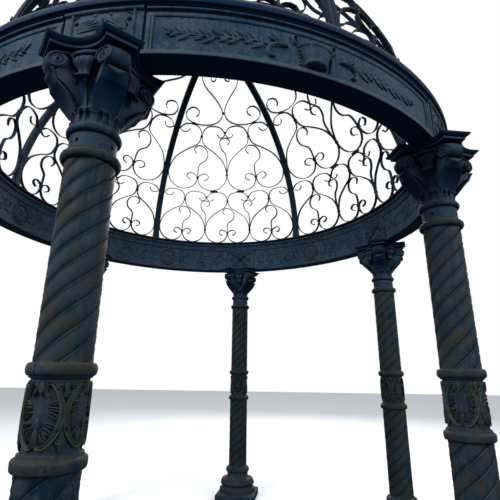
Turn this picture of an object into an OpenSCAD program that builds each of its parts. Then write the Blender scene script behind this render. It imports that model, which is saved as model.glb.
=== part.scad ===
// Round garden bandstand, open on all sides.
// Six cast columns with spiral strands carry a ring beam of curved castings,
// and six ribs with wrought scrollwork between them make the open dome.
// Lengths are millimetres. The origin is the middle of the ring at ground level, and Z is up.
// Column 1 stands on the +Y side, and the others follow clockwise seen from above.

/* [Layout] */
// Radius of the circle through the column centres
column_circle_r = 1950; // [1700:10:2300]
// Turn of the dome against the columns, in degrees
dome_turn = -5.6; // [-12:0.2:12]

/* [Column base] */
// Side of the square plinth
plinth_w = 444; // [420:2:520]
// Height of the square plinth
plinth_h = 70; // [40:2:120]
// Radius of the round step on the plinth
step_r = 208; // [200:1:220]
// Height of the round step, up to the lower torus
step_h = 70; // [50:2:90]
// Height of the step's upright edge
step_edge_h = 44; // [30:1:48]
// Outer radius of the lower torus
foot_torus_r = 198; // [190:1:206]
// Height of the lower torus
foot_torus_h = 56; // [40:2:70]
// Height of the flared bell between the two tori
flare_h = 72; // [60:2:110]
// Height of the upright edge at the foot of the flared bell
flare_edge_h = 10; // [4:1:20]
// How far the foot of the flared bell lies in from the lower torus
flare_foot_in = 12; // [4:1:24]
// How far the top of the flared bell lies in from the upper torus
flare_top_in = 18; // [10:1:30]
// Outer radius of the upper torus
ankle_torus_r = 138; // [130:1:150]
// Height of the upper torus
ankle_torus_h = 70; // [50:2:80]

/* [Column shaft] */
// Radius over the strands of the lower shaft
lower_shaft_r = 107; // [100:1:112]
// Height of the lower shaft
lower_shaft_h = 742; // [500:2:1000]
// Radius over the strands of the upper shaft
upper_shaft_r = 103; // [96:1:108]
// Height of the upper shaft
upper_shaft_h = 790; // [500:2:1000]
// Spiral strands round a shaft
strand_count = 6; // [5:1:8]
// Depth of the groove between two strands
groove_depth = 10; // [4:0.5:14]
// Height in which a strand goes once round the shaft
strand_lead = 540; // [460:10:900]
// Radius of the carved band between the shafts
band_r = 110; // [104:1:116]
// Height of the carved band
band_h = 258; // [200:2:320]
// Outer radius of the ring under the band
lower_ring_r = 123; // [118:1:130]
// Height of the ring under the band
lower_ring_h = 50; // [36:2:60]
// Outer radius of the ring over the band
upper_ring_r = 121; // [116:1:130]
// Height of the ring over the band
upper_ring_h = 36; // [28:2:50]
// Outer radius of the collar at the top of the shaft
collar_r = 123; // [116:1:132]
// Height of the collar
collar_h = 52; // [40:2:64]

/* [Capital] */
// Radius of the plain neck
neck_r = 97; // [90:1:102]
// Height of the plain neck
neck_h = 72; // [50:2:100]
// Outer radius of the astragal
astragal_r = 113; // [106:1:120]
// Height of the astragal
astragal_h = 26; // [18:2:36]
// Height of the fluted throat over the astragal
throat_h = 77; // [50:1:110]
// How far the throat stands out past the foot of the bell
throat_out = 3; // [1:1:8]
// Thickness of the bead round the top of the throat
throat_bead_h = 12; // [8:1:18]
// Radius of the bell at its foot
bell_foot_r = 94; // [88:1:98]
// Radius of the bell under the abacus
bell_lip_r = 156; // [146:1:166]
// Height of the bell
bell_h = 250; // [220:2:280]
// Side of the abacus across its corners' tips
abacus_w = 495; // [475:5:515]
// Height of the upper fascia of the abacus
abacus_top_h = 23; // [16:1:32]
// Height of the lower fascia of the abacus
abacus_low_h = 17; // [10:1:24]
// How far the lower fascia lies back
abacus_back = 11; // [6:1:16]
// Width of the cut corners of the abacus
abacus_corner = 180; // [160:5:200]
// Depth of the hollow in each side of the abacus
abacus_hollow = 67; // [50:1:74]
// Radius of a corner volute
volute_r = 42; // [34:1:48]
// Thickness of a corner volute
volute_t = 104; // [90:1:116]
// Radius of the volute's eye
volute_eye_r = 12; // [8:1:16]
// Depth of the hollow round the eye
volute_hollow = 7; // [3:0.5:10]
// Distance from the column's axis to which a volute reaches
volute_reach = 240; // [230:1:248]
// Space between a volute and the abacus
volute_drop = 16; // [6:1:24]
// How far a corner leaf laps over the foot of its volute
leaf_lap = 6; // [2:1:14]
// Width of a corner leaf
leaf_w = 150; // [130:2:160]
// Distance from the column's axis to which a corner leaf rolls out
leaf_reach = 232; // [222:1:240]
// Height of the flower on each side, down from the abacus
flower_h = 140; // [120:2:156]
// Width of the flower
flower_w = 90; // [70:2:100]
// Distance from the column's axis to which the flower stands out
flower_reach = 178; // [166:1:184]
// Width of the pair of small leaves on each side
small_leaf_w = 92; // [70:2:104]
// Height of the small leaves
small_leaf_h = 108; // [90:2:124]
// Distance from the column's axis to which the small leaves lean out
small_leaf_reach = 150; // [140:1:158]

/* [Ring beam] */
// Width of the beam's underside
beam_w = 139; // [120:1:160]
// Height of the beam
beam_h = 370; // [320:2:420]
// Height of the flat band along the beam's foot
beam_foot_h = 28; // [20:1:40]
// How far the frieze lies back from the foot band
frieze_back = 12; // [6:1:18]
// Height of the slope between the foot band and the frieze
foot_slope_h = 8; // [4:1:12]
// Height of the outer cornice
cornice_h = 140; // [110:1:160]
// Height of the inner cornice
inner_cornice_h = 98; // [80:1:120]
// How far the outer cornice stands out past the foot band
cornice_out = 20; // [10:1:40]
// How far the inner cornice stands in past the foot band
cornice_in = 22; // [10:1:40]
// Angle that a block over a column takes up, in degrees
block_angle = 11; // [9:0.5:14]
// How far a block's frieze stands out from that of the long castings
block_out = 8; // [4:1:10]
// Width of the fillet that frames a panel of the frieze
frame_w = 12; // [8:1:20]
// How far that fillet stands out
frame_t = 5; // [3:0.5:8]
// Margin between the fillet and the edges of the frieze
frame_margin = 16; // [10:1:30]
// Radius of the rosette on the inner face at the middle of each bay
rosette_r = 78; // [60:1:84]
// How far the rosette stands out
rosette_t = 14; // [8:1:18]

/* [Dome] */
// How far the dome's foot lies in from the circle of the columns
dome_in = 82; // [66:2:96]
// Rise of the dome over its foot ring
dome_rise = 1726; // [1500:2:1900]
// Width of the flat foot ring
foot_ring_w = 70; // [60:1:84]
// Thickness of the flat foot ring
foot_ring_t = 14; // [8:1:20]
// Width of a rib
rib_w = 70; // [50:1:80]
// Depth of a rib
rib_d = 42; // [34:1:56]
// Width of the groove along a rib's outer face
rib_groove_w = 9; // [4:1:14]
// Depth of that groove
rib_groove_d = 5; // [2:0.5:8]

/* [Scrollwork] */
// Thickness of a scroll bar, seen from inside
bar_t = 8; // [6:0.5:12]
// Depth of a scroll bar, square to the dome
bar_d = 24; // [16:1:30]
// Angle above the foot at which the lowest row of scrolls ends
row_c_top = 24.4; // [22:0.2:27]
// Angle above the foot at which the middle row of scrolls ends
row_b_top = 53.4; // [50:0.2:56]
// Angle above the foot at which the top row of scrolls ends
row_a_top = 77; // [76:0.5:81]
// Length of a riveted block that joins two bars
tie_l = 20; // [14:1:30]
// Space between two bars where they are joined
tie_space = 3; // [2:0.5:6]
// Height of the stems between the rows, past the bars that they join
stem_h = 5; // [3:0.5:8]

/* [Crown] */
// Radius of the crown hub
hub_r = 165; // [150:1:200]
// Height of the hub above and below the ribs' crown line
hub_half_h = 32; // [26:1:44]
// Radius of the boss under and over the hub
boss_r = 108; // [90:1:130]
// Height of each boss
boss_h = 16; // [10:1:26]
// Width of the bevel along the hub's edges
hub_bevel = 7; // [3:1:12]
// Radius of the finial's foot
finial_foot_r = 78; // [66:1:88]
// Height of the finial's foot
finial_foot_h = 16; // [10:1:24]
// Height of the finial's hollow stem
finial_stem_h = 74; // [56:2:96]
// Radius of the stem's neck
finial_neck_r = 26; // [20:1:34]
// Radius of the finial's ball
finial_ball_r = 62; // [50:1:74]
// Height of the finial's spike over the ball
spike_h = 118; // [80:2:160]
// Radius of the spike's foot
spike_r = 24; // [18:1:32]
// Radius of the knob on the spike
knob_r = 11; // [8:1:16]

/* [Hidden] */
$fn = 48;

// Six columns, so one bay takes up sixty degrees
bay_angle = 60;
// Clearance between the scroll bars and what they rest on, and between the ribs and the hub
seat_gap = 0.3;
// How far a form is let into the one that carries it, within one casting
bury = 4;
// Turn of a shaft between two of its sections
section_turn = 45;
// Steps along a hollow or a bell, and along a rib
curve_steps = 8;
rib_steps = 24;
// Angle above the foot to which a rib's section is drawn, inside the hub
rib_end = 89;
// Sides of the round castings of the ring beam
ring_sides = 180;

dome_r = column_circle_r - dome_in;

// Heights above the ground, from the plinth up
step_z = plinth_h;
foot_torus_z = step_z + step_h;
flare_z = foot_torus_z + foot_torus_h;
ankle_torus_z = flare_z + flare_h;
lower_shaft_z = ankle_torus_z + ankle_torus_h;
lower_ring_z = lower_shaft_z + lower_shaft_h;
band_z = lower_ring_z + lower_ring_h;
upper_ring_z = band_z + band_h;
upper_shaft_z = upper_ring_z + upper_ring_h;
collar_z = upper_shaft_z + upper_shaft_h;
neck_z = collar_z + collar_h;
astragal_z = neck_z + neck_h;
throat_z = astragal_z + astragal_h;
bell_z = throat_z + throat_h;
abacus_z = bell_z + bell_h;
beam_z = abacus_z + abacus_low_h + abacus_top_h;
foot_ring_z = beam_z + beam_h;
dome_z = foot_ring_z + foot_ring_t;
crown_z = dome_z + dome_rise;
finial_z = crown_z + hub_half_h + boss_h;

beam_out_r = column_circle_r + beam_w / 2;
beam_in_r = column_circle_r - beam_w / 2;

// Places one column's piece: local +Y points away from the middle of the ring
module at_column(k) {
    rotate([0, 0, -bay_angle * (k - 1)])
        translate([0, column_circle_r, 0])
            children();
}

// Half section of a bead: half-round outside, with its own height and outer radius
module bead(r, h) {
    square([r - h / 2, h]);
    translate([r - h / 2, h / 2])
        circle(d = h);
}

// Half section of a quarter hollow that narrows upward, over an upright edge
module hollow(foot, top, h, edge) {
    polygon(concat(
        [[0, 0], [foot, 0]],
        [for (i = [0 : curve_steps])
            let (a = 90 * i / curve_steps)
                [top + (foot - top) * (1 - sin(a)), edge + (h - edge) * (1 - cos(a))]],
        [[0, h]]));
}

// The base casting: square plinth, round step, torus, flared bell and torus
module column_base() {
    color("#3b4246") {
        translate([-plinth_w / 2, -plinth_w / 2, 0])
            cube([plinth_w, plinth_w, plinth_h]);
        translate([0, 0, step_z])
            rotate_extrude() {
                square([step_r, step_edge_h]);
                square([foot_torus_r - foot_torus_h / 2, step_h]);
            }
        translate([0, 0, foot_torus_z])
            rotate_extrude()
                bead(foot_torus_r, foot_torus_h);
        translate([0, 0, flare_z])
            rotate_extrude()
                hollow(foot_torus_r - flare_foot_in, ankle_torus_r - flare_top_in, flare_h, flare_edge_h);
        translate([0, 0, ankle_torus_z])
            rotate_extrude()
                bead(ankle_torus_r, ankle_torus_h);
    }
}

// Section of a shaft: each strand has its groove and two points on its back
function strand_outline(r) = [
    for (i = [0 : 3 * strand_count - 1])
        let (a = 120 / strand_count * i, s = i % 3 == 0 ? r - groove_depth : r)
            [s * cos(a), s * sin(a)]
];

// A length of shaft between two heights, whose strands climb to the right
module strand_shaft(r, low, high) {
    turn = 360 * (high - low) / strand_lead;
    sections = ceil(turn / section_turn);
    translate([0, 0, low])
        linear_extrude(height = high - low, twist = -turn, slices = sections, $fn = 3 * strand_count)
            polygon(strand_outline(r));
}

// The two spiral shafts, with the carved band, its rings and the collar
module column_shaft() {
    color("#454a4c") {
        strand_shaft(lower_shaft_r, lower_shaft_z, lower_ring_z + bury);
        translate([0, 0, lower_ring_z])
            rotate_extrude() {
                bead(lower_ring_r, lower_ring_h);
                translate([0, lower_ring_h])
                    square([band_r, band_h]);
                translate([0, lower_ring_h + band_h])
                    bead(upper_ring_r, upper_ring_h);
            }
        strand_shaft(upper_shaft_r, upper_shaft_z - bury, collar_z + bury);
        translate([0, 0, collar_z])
            rotate_extrude()
                bead(collar_r, collar_h);
    }
}

// Half section of the bell: a vase that opens under the abacus
module bell_profile() {
    polygon(concat(
        [[0, 0]],
        [for (i = [0 : curve_steps])
            let (u = i / curve_steps)
                [bell_foot_r + (bell_lip_r - bell_foot_r) * pow(u, 2.2), bell_h * u]],
        [[0, bell_h]]));
}

// Plan of the abacus: four hollow sides and four cut corners, all lying back by one amount
module abacus_plan(back) {
    half = abacus_w / 2;
    chord = half - abacus_corner / sqrt(2);
    hollow_r = (chord * chord + abacus_hollow * abacus_hollow) / (2 * abacus_hollow);
    difference() {
        intersection() {
            square(2 * (half - back), center = true);
            rotate(45)
                square(2 * (half * sqrt(2) - abacus_corner / 2 - back), center = true);
        }
        for (a = [0 : 90 : 270])
            rotate(a)
                translate([half - abacus_hollow + hollow_r, 0])
                    circle(r = hollow_r + back, $fn = 96);
    }
}

// Side view of a corner leaf, from the bell's foot to its reach and from its root to its height
leaf_side = [
    [-0.2, 0], [0.07, 0], [0.13, 0.17], [0.27, 0.365], [0.47, 0.55], [0.74, 0.7],
    [0.89, 0.71], [0.93, 0.615], [1, 0.655], [1, 0.84], [0.86, 1], [-0.2, 1]
];
// Half of a leaf's front view, as a share of its half width and height
leaf_front = [[0.6, 0], [0.78, 0.25], [0.96, 0.52], [1, 0.74], [0.9, 0.9], [0.74, 1]];
// Side view of a flower, from the bell's lip to its reach, and its front view, both from its lowest point up
flower_side = [[-1.2, 0], [-0.6, 0.04], [0.7, 0.14], [0.2, 0.3], [1, 0.72], [0.4, 1], [-1.2, 1]];
flower_front = [[0.5, 0], [0.9, 0.16], [0.6, 0.34], [1, 0.7], [0.8, 1]];
// Side view of the small leaves, and half of the front view of a pair with round heads
small_leaf_side = [[-0.4, 0], [0.12, 0], [0.24, 0.35], [0.5, 0.68], [1, 0.94], [0.94, 1], [-0.4, 1]];
small_leaf_front = [[0.94, 0], [1, 0.62], [0.88, 0.92], [0.52, 1], [0.16, 0.92], [0.04, 0.76]];

// A form seen from its side and from its front, where the two views meet; local +X points away from the bell
module carved(side, front, root, reach, w, h) {
    half = [for (p = front) [p[0] * w / 2, p[1] * h]];
    other = [for (i = [len(half) - 1 : -1 : 0]) [-half[i][0], half[i][1]]];
    intersection() {
        rotate([90, 0, 0])
            linear_extrude(height = w, center = true)
                polygon([for (p = side) [root + p[0] * (reach - root), p[1] * h]]);
        rotate([90, 0, 90])
            linear_extrude(height = reach)
                polygon(concat(half, other));
    }
}

// A corner volute: a disc with a rim, a hollow and an eye on both faces
module volute() {
    half = volute_t / 2;
    low = half - volute_hollow;
    rotate([90, 0, 0])
        rotate_extrude()
            polygon([
                [0, -half], [volute_eye_r, -half], [volute_eye_r + bury, -low],
                [volute_r - 2 * bury, -low], [volute_r - bury, -half], [volute_r, -half],
                [volute_r, half], [volute_r - bury, half], [volute_r - 2 * bury, low],
                [volute_eye_r + bury, low], [volute_eye_r, half], [0, half]
            ]);
}

// The capital casting: plain neck, astragal, throat, bell, leaves, flowers, volutes and abacus
module column_capital() {
    volute_foot = bell_h - volute_drop - 2 * volute_r;
    color("#40474b") {
        translate([0, 0, neck_z])
            rotate_extrude() {
                square([neck_r, neck_h]);
                translate([0, neck_h])
                    bead(astragal_r, astragal_h);
                translate([0, neck_h + astragal_h])
                    square([bell_foot_r + throat_out, throat_h]);
                translate([0, neck_h + astragal_h + throat_h - throat_bead_h])
                    bead(bell_foot_r + throat_out + throat_bead_h, throat_bead_h);
            }
        translate([0, 0, bell_z])
            rotate_extrude()
                bell_profile();
        for (a = [45 : 90 : 315])
            rotate(a)
                translate([0, 0, bell_z]) {
                    carved(leaf_side, leaf_front, bell_foot_r, leaf_reach, leaf_w, volute_foot + leaf_lap);
                    translate([volute_reach - volute_r, 0, volute_foot + volute_r])
                        volute();
                }
        for (a = [0 : 90 : 270])
            rotate(a)
                translate([0, 0, bell_z]) {
                    carved(small_leaf_side, small_leaf_front, bell_foot_r, small_leaf_reach, small_leaf_w, small_leaf_h);
                    translate([0, 0, bell_h - flower_h])
                        carved(flower_side, flower_front, bell_lip_r, flower_reach, flower_w, flower_h);
                }
        translate([0, 0, abacus_z])
            linear_extrude(height = abacus_low_h)
                abacus_plan(abacus_back);
        translate([0, 0, abacus_z + abacus_low_h])
            linear_extrude(height = abacus_top_h)
                abacus_plan(0);
    }
}

// Where the frieze begins and ends, over the beam's foot, outside and inside
frieze_foot = beam_foot_h + foot_slope_h;
frieze_top = beam_h - cornice_h;
inner_frieze_top = beam_h - inner_cornice_h;

// Mouldings of the outer cornice upward and of the inner one downward: how far each point stands out
// past the foot band, and how high it lies over the frieze, as shares of the cornice's own sizes
outer_mouldings = [[0, 0.06], [0, 0.21], [0.35, 0.26], [0.6, 0.44], [1, 0.5], [1, 0.63], [-1.2, 1]];
inner_mouldings = [[0.2, 1], [1, 0.9], [1, 0.65], [0.5, 0.59], [0.1, 0.37], [0, 0.08]];

// Half section of the ring beam, as radius and height over the beam's foot.
// out is how far the frieze stands out on both faces from that of the long castings.
function beam_section(out) =
    let (
        outer = beam_out_r - frieze_back + out,
        inner = beam_in_r + frieze_back - out
    ) concat(
        [[beam_in_r, 0], [beam_out_r, 0], [beam_out_r, beam_foot_h], [outer, frieze_foot], [outer, frieze_top]],
        [for (m = outer_mouldings) [beam_out_r + cornice_out * m[0], frieze_top + cornice_h * m[1]]],
        [for (m = inner_mouldings) [beam_in_r - cornice_in * m[0], inner_frieze_top + inner_cornice_h * m[1]]],
        [[inner, inner_frieze_top], [inner, frieze_foot], [beam_in_r, beam_foot_h]]);

// A curved casting of the ring beam between two angles, clockwise from +Y
module beam_sector(from, to, out) {
    rotate([0, 0, 90 - to])
        translate([0, 0, beam_z])
            rotate_extrude(angle = to - from, $fn = ring_sides)
                polygon(beam_section(out));
}

// A curved slab between two angles, two radii and two heights over the beam's foot
module slab(from, to, r0, r1, low, high) {
    rotate([0, 0, 90 - to])
        translate([0, 0, beam_z + low])
            rotate_extrude(angle = to - from, $fn = ring_sides)
                translate([r0, 0])
                    square([r1 - r0, high - low]);
}

// The fillet that frames a panel of the frieze, from radius r0 to r1 and up to a height over the beam's foot
module frame(from, to, r0, r1, high) {
    edge = asin(frame_margin / column_circle_r);
    inner = asin((frame_margin + frame_w) / column_circle_r);
    low = frieze_foot + frame_margin;
    difference() {
        slab(from + edge, to - edge, r0, r1, low, high);
        slab(from + inner, to - inner, r0 - bury, r1 + bury, low + frame_w, high - frame_w);
    }
}

// The short block over column k, with a framed panel on both faces
module beam_block(k) {
    from = bay_angle * (k - 1) - block_angle / 2;
    to = from + block_angle;
    outer = beam_out_r - frieze_back + block_out;
    inner = beam_in_r + frieze_back - block_out;
    color("#3c4549") {
        beam_sector(from, to, block_out);
        frame(from, to, outer - bury, outer + frame_t, frieze_top - frame_margin);
        frame(from, to, inner - frame_t, inner + bury, inner_frieze_top - frame_margin);
    }
}

// The long curved casting between columns k and k + 1: framed outside, with the rosette on its inner face
module beam(k) {
    from = bay_angle * (k - 1) + block_angle / 2;
    to = bay_angle * k - block_angle / 2;
    outer = beam_out_r - frieze_back;
    color("#3c4549") {
        beam_sector(from, to, 0);
        frame(from, to, outer - bury, outer + frame_t, frieze_top - frame_margin);
        rotate([0, 0, -(from + to) / 2])
            translate([0, beam_in_r + frieze_back + bury, beam_z + (frieze_foot + inner_frieze_top) / 2])
                rotate([90, 0, 0])
                    cylinder(r = rosette_r, h = rosette_t + bury);
    }
}

// A point of the dome's surface: azimuth clockwise from +Y, angle above the foot and height off the surface
function dome_point(az, t, off) = [
    (dome_r + off) * cos(t) * sin(az),
    (dome_r + off) * cos(t) * cos(az),
    dome_z + (dome_rise + off) * sin(t)
];

// The flat ring that the ribs and scrolls stand on
module dome_foot_ring() {
    color("#343b3d")
        translate([0, 0, foot_ring_z])
            rotate_extrude($fn = ring_sides)
                translate([dome_r - foot_ring_w / 2, 0])
                    square([foot_ring_w, foot_ring_t]);
}

// A strip of the dome's own curve between two heights off its surface, as wide as w
module rib_strip(low, high, w) {
    curve = [for (i = [0 : rib_steps]) rib_end * i / rib_steps];
    translate([-w / 2, 0, 0])
        rotate([90, 0, 90])
            linear_extrude(height = w)
                polygon(concat(
                    [for (i = [0 : rib_steps])
                        let (p = dome_point(0, curve[i], high))
                            [p[1], p[2]]],
                    [for (i = [rib_steps : -1 : 0])
                        let (p = dome_point(0, curve[i], low))
                            [p[1], p[2]]]));
}

// One rib: a band of the dome's own curve with a groove along its back, from the foot ring to the hub
module dome_rib(k) {
    color("#23292c")
        rotate([0, 0, -(dome_turn + bay_angle * (k - 0.5))])
            difference() {
                rib_strip(-rib_d / 2, rib_d / 2, rib_w);
                rib_strip(rib_d / 2 - rib_groove_d, rib_d / 2 + bury, rib_groove_w);
                translate([0, 0, crown_z - rib_d])
                    cylinder(r = hub_r + seat_gap, h = 2 * rib_d);
            }
}

// Half the free angle of a bay between its ribs, at an angle above the foot
function free_half(t) =
    bay_angle / 2 - asin((rib_w / 2 + bar_t / 2 + seat_gap) / (dome_r * cos(t)));

// Angle between the side bars of neighbouring cells, at an angle above the foot
function cell_gap(t) = 2 * asin((bar_t + tie_space) / (2 * dome_r * cos(t)));

// Half the width of one of n cells across a bay, as an angle
function cell_half(n, t) = (free_half(t) - (n - 1) * cell_gap(t) / 2) / n;

// A point of a scroll cell. x runs from the cell's axis to its side at 1, y from its foot to its top.
// The cell is number i of n across the bay, mirrored where side is -1.
function cell_point(p, i, n, side, low, high) =
    let (t = low + (high - low) * p[1], half = cell_half(n, t))
        [half * (2 * i + 1 + side * p[0]) + i * cell_gap(t) - free_half(t), t];

// A point of a half cell of the top row, whose axis is the rib on one side of the bay
function rib_cell_point(p, side, low, high) =
    let (t = low + (high - low) * p[1], half = free_half(t) - cell_gap(t) / 2)
        [side * (free_half(t) - half * p[0]), t];

// The scroll of one cell, from its inner curl round the lobe and over the neck to the top lobe
lobe = [
    [0.35, 0.17], [0.24, 0.26], [0.03, 0.17], [0.22, 0.015], [0.72, 0.015],
    [1.0, 0.24], [0.88, 0.46], [0.20, 0.69], [0.06, 0.84], [0.60, 1.0]
];
// The end of the top lobe at a neighbour: down past the tie
lobe_end = [[0.95, 0.91], [0.98, 0.82]];
// The end of the top lobe at a rib: a small inward curl
lobe_curl = [[0.99, 0.91], [0.86, 0.79], [0.64, 0.84]];
// The crook that stands on the cell's axis
crook = [[0, 0.18], [0.02, 0.37], [0.27, 0.51], [0.08, 0.655], [-0.17, 0.57]];
// Where on its lobe a scroll is joined to the next cell, and to its own mirror image
side_join = [1, 0.24];
axis_join = [0.03, 0.17];
// Where a lobe touches the row above it, and where the lobes of that row rest on it
lobe_top = [0.60, 1];
wide_lobe_foot = [0.60, 0.015];
rib_lobe_foot = [0.24, 0.015];
// Share of a bar's depth that a tie takes up, and how far a tie reaches into the bars, as a share of their thickness
tie_depth = 0.6;
tie_bite = 0.35;

// Unit vector
function unit(v) = v / norm(v);

// Outward normal of the dome at a surface point
function dome_normal(q) = unit([
    sin(q[0]) * cos(q[1]) / dome_r,
    cos(q[0]) * cos(q[1]) / dome_r,
    sin(q[1]) / dome_rise
]);

// A flat bar on edge along surface points, as one closed strip with four sides
module scroll_bar(q) {
    n = len(q);
    mid = [for (p = q) dome_point(p[0], p[1], 0)];
    ring = [
        for (i = [0 : n - 1])
            let (
                along = unit(mid[min(i + 1, n - 1)] - mid[max(i - 1, 0)]),
                up = dome_normal(q[i]),
                side = unit(cross(up, along)) * bar_t / 2,
                deep = up * bar_d / 2
            )
            each [
                mid[i] - side - deep, mid[i] + side - deep, mid[i] + side + deep, mid[i] - side + deep
            ]
    ];
    polyhedron(
        points = ring,
        faces = concat(
            [[0, 1, 2, 3]],
            [for (i = [0 : n - 2], j = [0 : 3])
                [4 * (i + 1) + j, 4 * (i + 1) + (j + 1) % 4, 4 * i + (j + 1) % 4, 4 * i + j]],
            [[4 * n - 1, 4 * n - 2, 4 * n - 3, 4 * n - 4]]));
}

// Places a piece on the dome at a surface point: local X runs round the dome, Y outward and Z up the curve
module on_dome(q) {
    n = dome_normal([0, q[1]]);
    rotate([0, 0, -q[0]])
        translate(dome_point(0, q[1], 0))
            rotate([atan2(n[2], n[1]), 0, 0])
                children();
}

// A riveted block from a surface point on one bar to a surface point on another, standing h / 2 past both
module tie(a, b, h) {
    q = (a + b) / 2;
    across = norm(dome_point(a[0], q[1], 0) - dome_point(b[0], q[1], 0));
    along = norm(dome_point(q[0], a[1], 0) - dome_point(q[0], b[1], 0));
    on_dome(q)
        hull()
            cube([across + 2 * bar_t * tie_bite, bar_d * tie_depth, along + h], center = true);
}

// One row of n cells across the bay
module scroll_row(n, low, high) {
    for (i = [0 : n - 1], side = [-1, 1]) {
        at_rib = (i == 0 && side < 0) || (i == n - 1 && side > 0);
        scroll_bar([for (p = concat(lobe, at_rib ? lobe_curl : lobe_end))
            cell_point(p, i, n, side, low, high)]);
    }
    for (i = [0 : n - 1]) {
        scroll_bar([for (p = crook) cell_point(p, i, n, 1, low, high)]);
        tie(cell_point(axis_join, i, n, -1, low, high), cell_point(axis_join, i, n, 1, low, high), tie_l);
    }
    for (i = [0 : 1 : n - 2])
        tie(cell_point(side_join, i, n, 1, low, high), cell_point(side_join, i + 1, n, -1, low, high), tie_l);
}

// The top row: one scroll from each rib, meeting at the middle of the bay
module scroll_top_row(low, high) {
    for (side = [-1, 1])
        scroll_bar([for (p = concat(lobe, lobe_curl)) rib_cell_point(p, side, low, high)]);
    tie(rib_cell_point(side_join, -1, low, high), rib_cell_point(side_join, 1, low, high), tie_l);
}

// The scrollwork of one bay: rows of three and two cells, and the top row between the ribs
module scroll_panel(k) {
    foot = asin((bar_t / 2 + seat_gap) / dome_rise);
    color("#23292c")
        rotate([0, 0, -(dome_turn + bay_angle * k)]) {
            scroll_row(3, foot, row_c_top);
            scroll_row(2, row_c_top, row_b_top);
            scroll_top_row(row_b_top, row_a_top);
            for (side = [-1, 1]) {
                i = (side + 1) / 2;
                tie(cell_point(lobe_top, 1, 3, side, foot, row_c_top),
                    cell_point(wide_lobe_foot, i, 2, -side, row_c_top, row_b_top), stem_h);
                tie(cell_point(lobe_top, i, 2, side, row_c_top, row_b_top),
                    rib_cell_point(rib_lobe_foot, side, row_b_top, row_a_top), stem_h);
            }
        }
}

// The hub that the ribs are bolted to: a bevelled disc with a boss over and under it
module crown_hub() {
    color("#2c3336")
        translate([0, 0, crown_z])
            rotate_extrude()
                polygon([
                    [0, -hub_half_h - boss_h], [boss_r - hub_bevel, -hub_half_h - boss_h],
                    [boss_r, -hub_half_h], [hub_r - hub_bevel, -hub_half_h],
                    [hub_r, -hub_half_h + hub_bevel], [hub_r, hub_half_h - hub_bevel],
                    [hub_r - hub_bevel, hub_half_h], [boss_r, hub_half_h],
                    [boss_r - hub_bevel, hub_half_h + boss_h], [0, hub_half_h + boss_h]
                ]);
}

// A turned finial on the hub: foot, hollow stem, ball and spike with a knob
module finial() {
    ball_z = finial_foot_h + finial_stem_h + sqrt(pow(finial_ball_r, 2) - pow(finial_neck_r, 2));
    spike_z = ball_z + sqrt(pow(finial_ball_r, 2) - pow(spike_r, 2));
    color("#2c3336")
        translate([0, 0, finial_z]) {
            rotate_extrude()
                bead(finial_foot_r, finial_foot_h);
            translate([0, 0, finial_foot_h])
                rotate_extrude()
                    hollow(finial_foot_r - finial_foot_h, finial_neck_r, finial_stem_h, bury);
            translate([0, 0, ball_z])
                sphere(r = finial_ball_r);
            translate([0, 0, spike_z - bury])
                cylinder(r1 = spike_r, r2 = knob_r / 2, h = spike_h + bury);
            translate([0, 0, spike_z + spike_h])
                sphere(r = knob_r);
        }
}

at_column(1) column_base();  // column_base_1
at_column(2) column_base();  // column_base_2
at_column(3) column_base();  // column_base_3
at_column(4) column_base();  // column_base_4
at_column(5) column_base();  // column_base_5
at_column(6) column_base();  // column_base_6
at_column(1) column_shaft();  // column_shaft_1
at_column(2) column_shaft();  // column_shaft_2
at_column(3) column_shaft();  // column_shaft_3
at_column(4) column_shaft();  // column_shaft_4
at_column(5) column_shaft();  // column_shaft_5
at_column(6) column_shaft();  // column_shaft_6
at_column(1) column_capital();  // column_capital_1
at_column(2) column_capital();  // column_capital_2
at_column(3) column_capital();  // column_capital_3
at_column(4) column_capital();  // column_capital_4
at_column(5) column_capital();  // column_capital_5
at_column(6) column_capital();  // column_capital_6
beam_block(1);  // beam_block_1
beam_block(2);  // beam_block_2
beam_block(3);  // beam_block_3
beam_block(4);  // beam_block_4
beam_block(5);  // beam_block_5
beam_block(6);  // beam_block_6
beam(1);  // beam_1
beam(2);  // beam_2
beam(3);  // beam_3
beam(4);  // beam_4
beam(5);  // beam_5
beam(6);  // beam_6
dome_foot_ring();
dome_rib(1);  // dome_rib_1
dome_rib(2);  // dome_rib_2
dome_rib(3);  // dome_rib_3
dome_rib(4);  // dome_rib_4
dome_rib(5);  // dome_rib_5
dome_rib(6);  // dome_rib_6
scroll_panel(1);  // scroll_panel_1
scroll_panel(2);  // scroll_panel_2
scroll_panel(3);  // scroll_panel_3
scroll_panel(4);  // scroll_panel_4
scroll_panel(5);  // scroll_panel_5
scroll_panel(6);  // scroll_panel_6
crown_hub();
finial();
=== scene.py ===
import math

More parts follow.
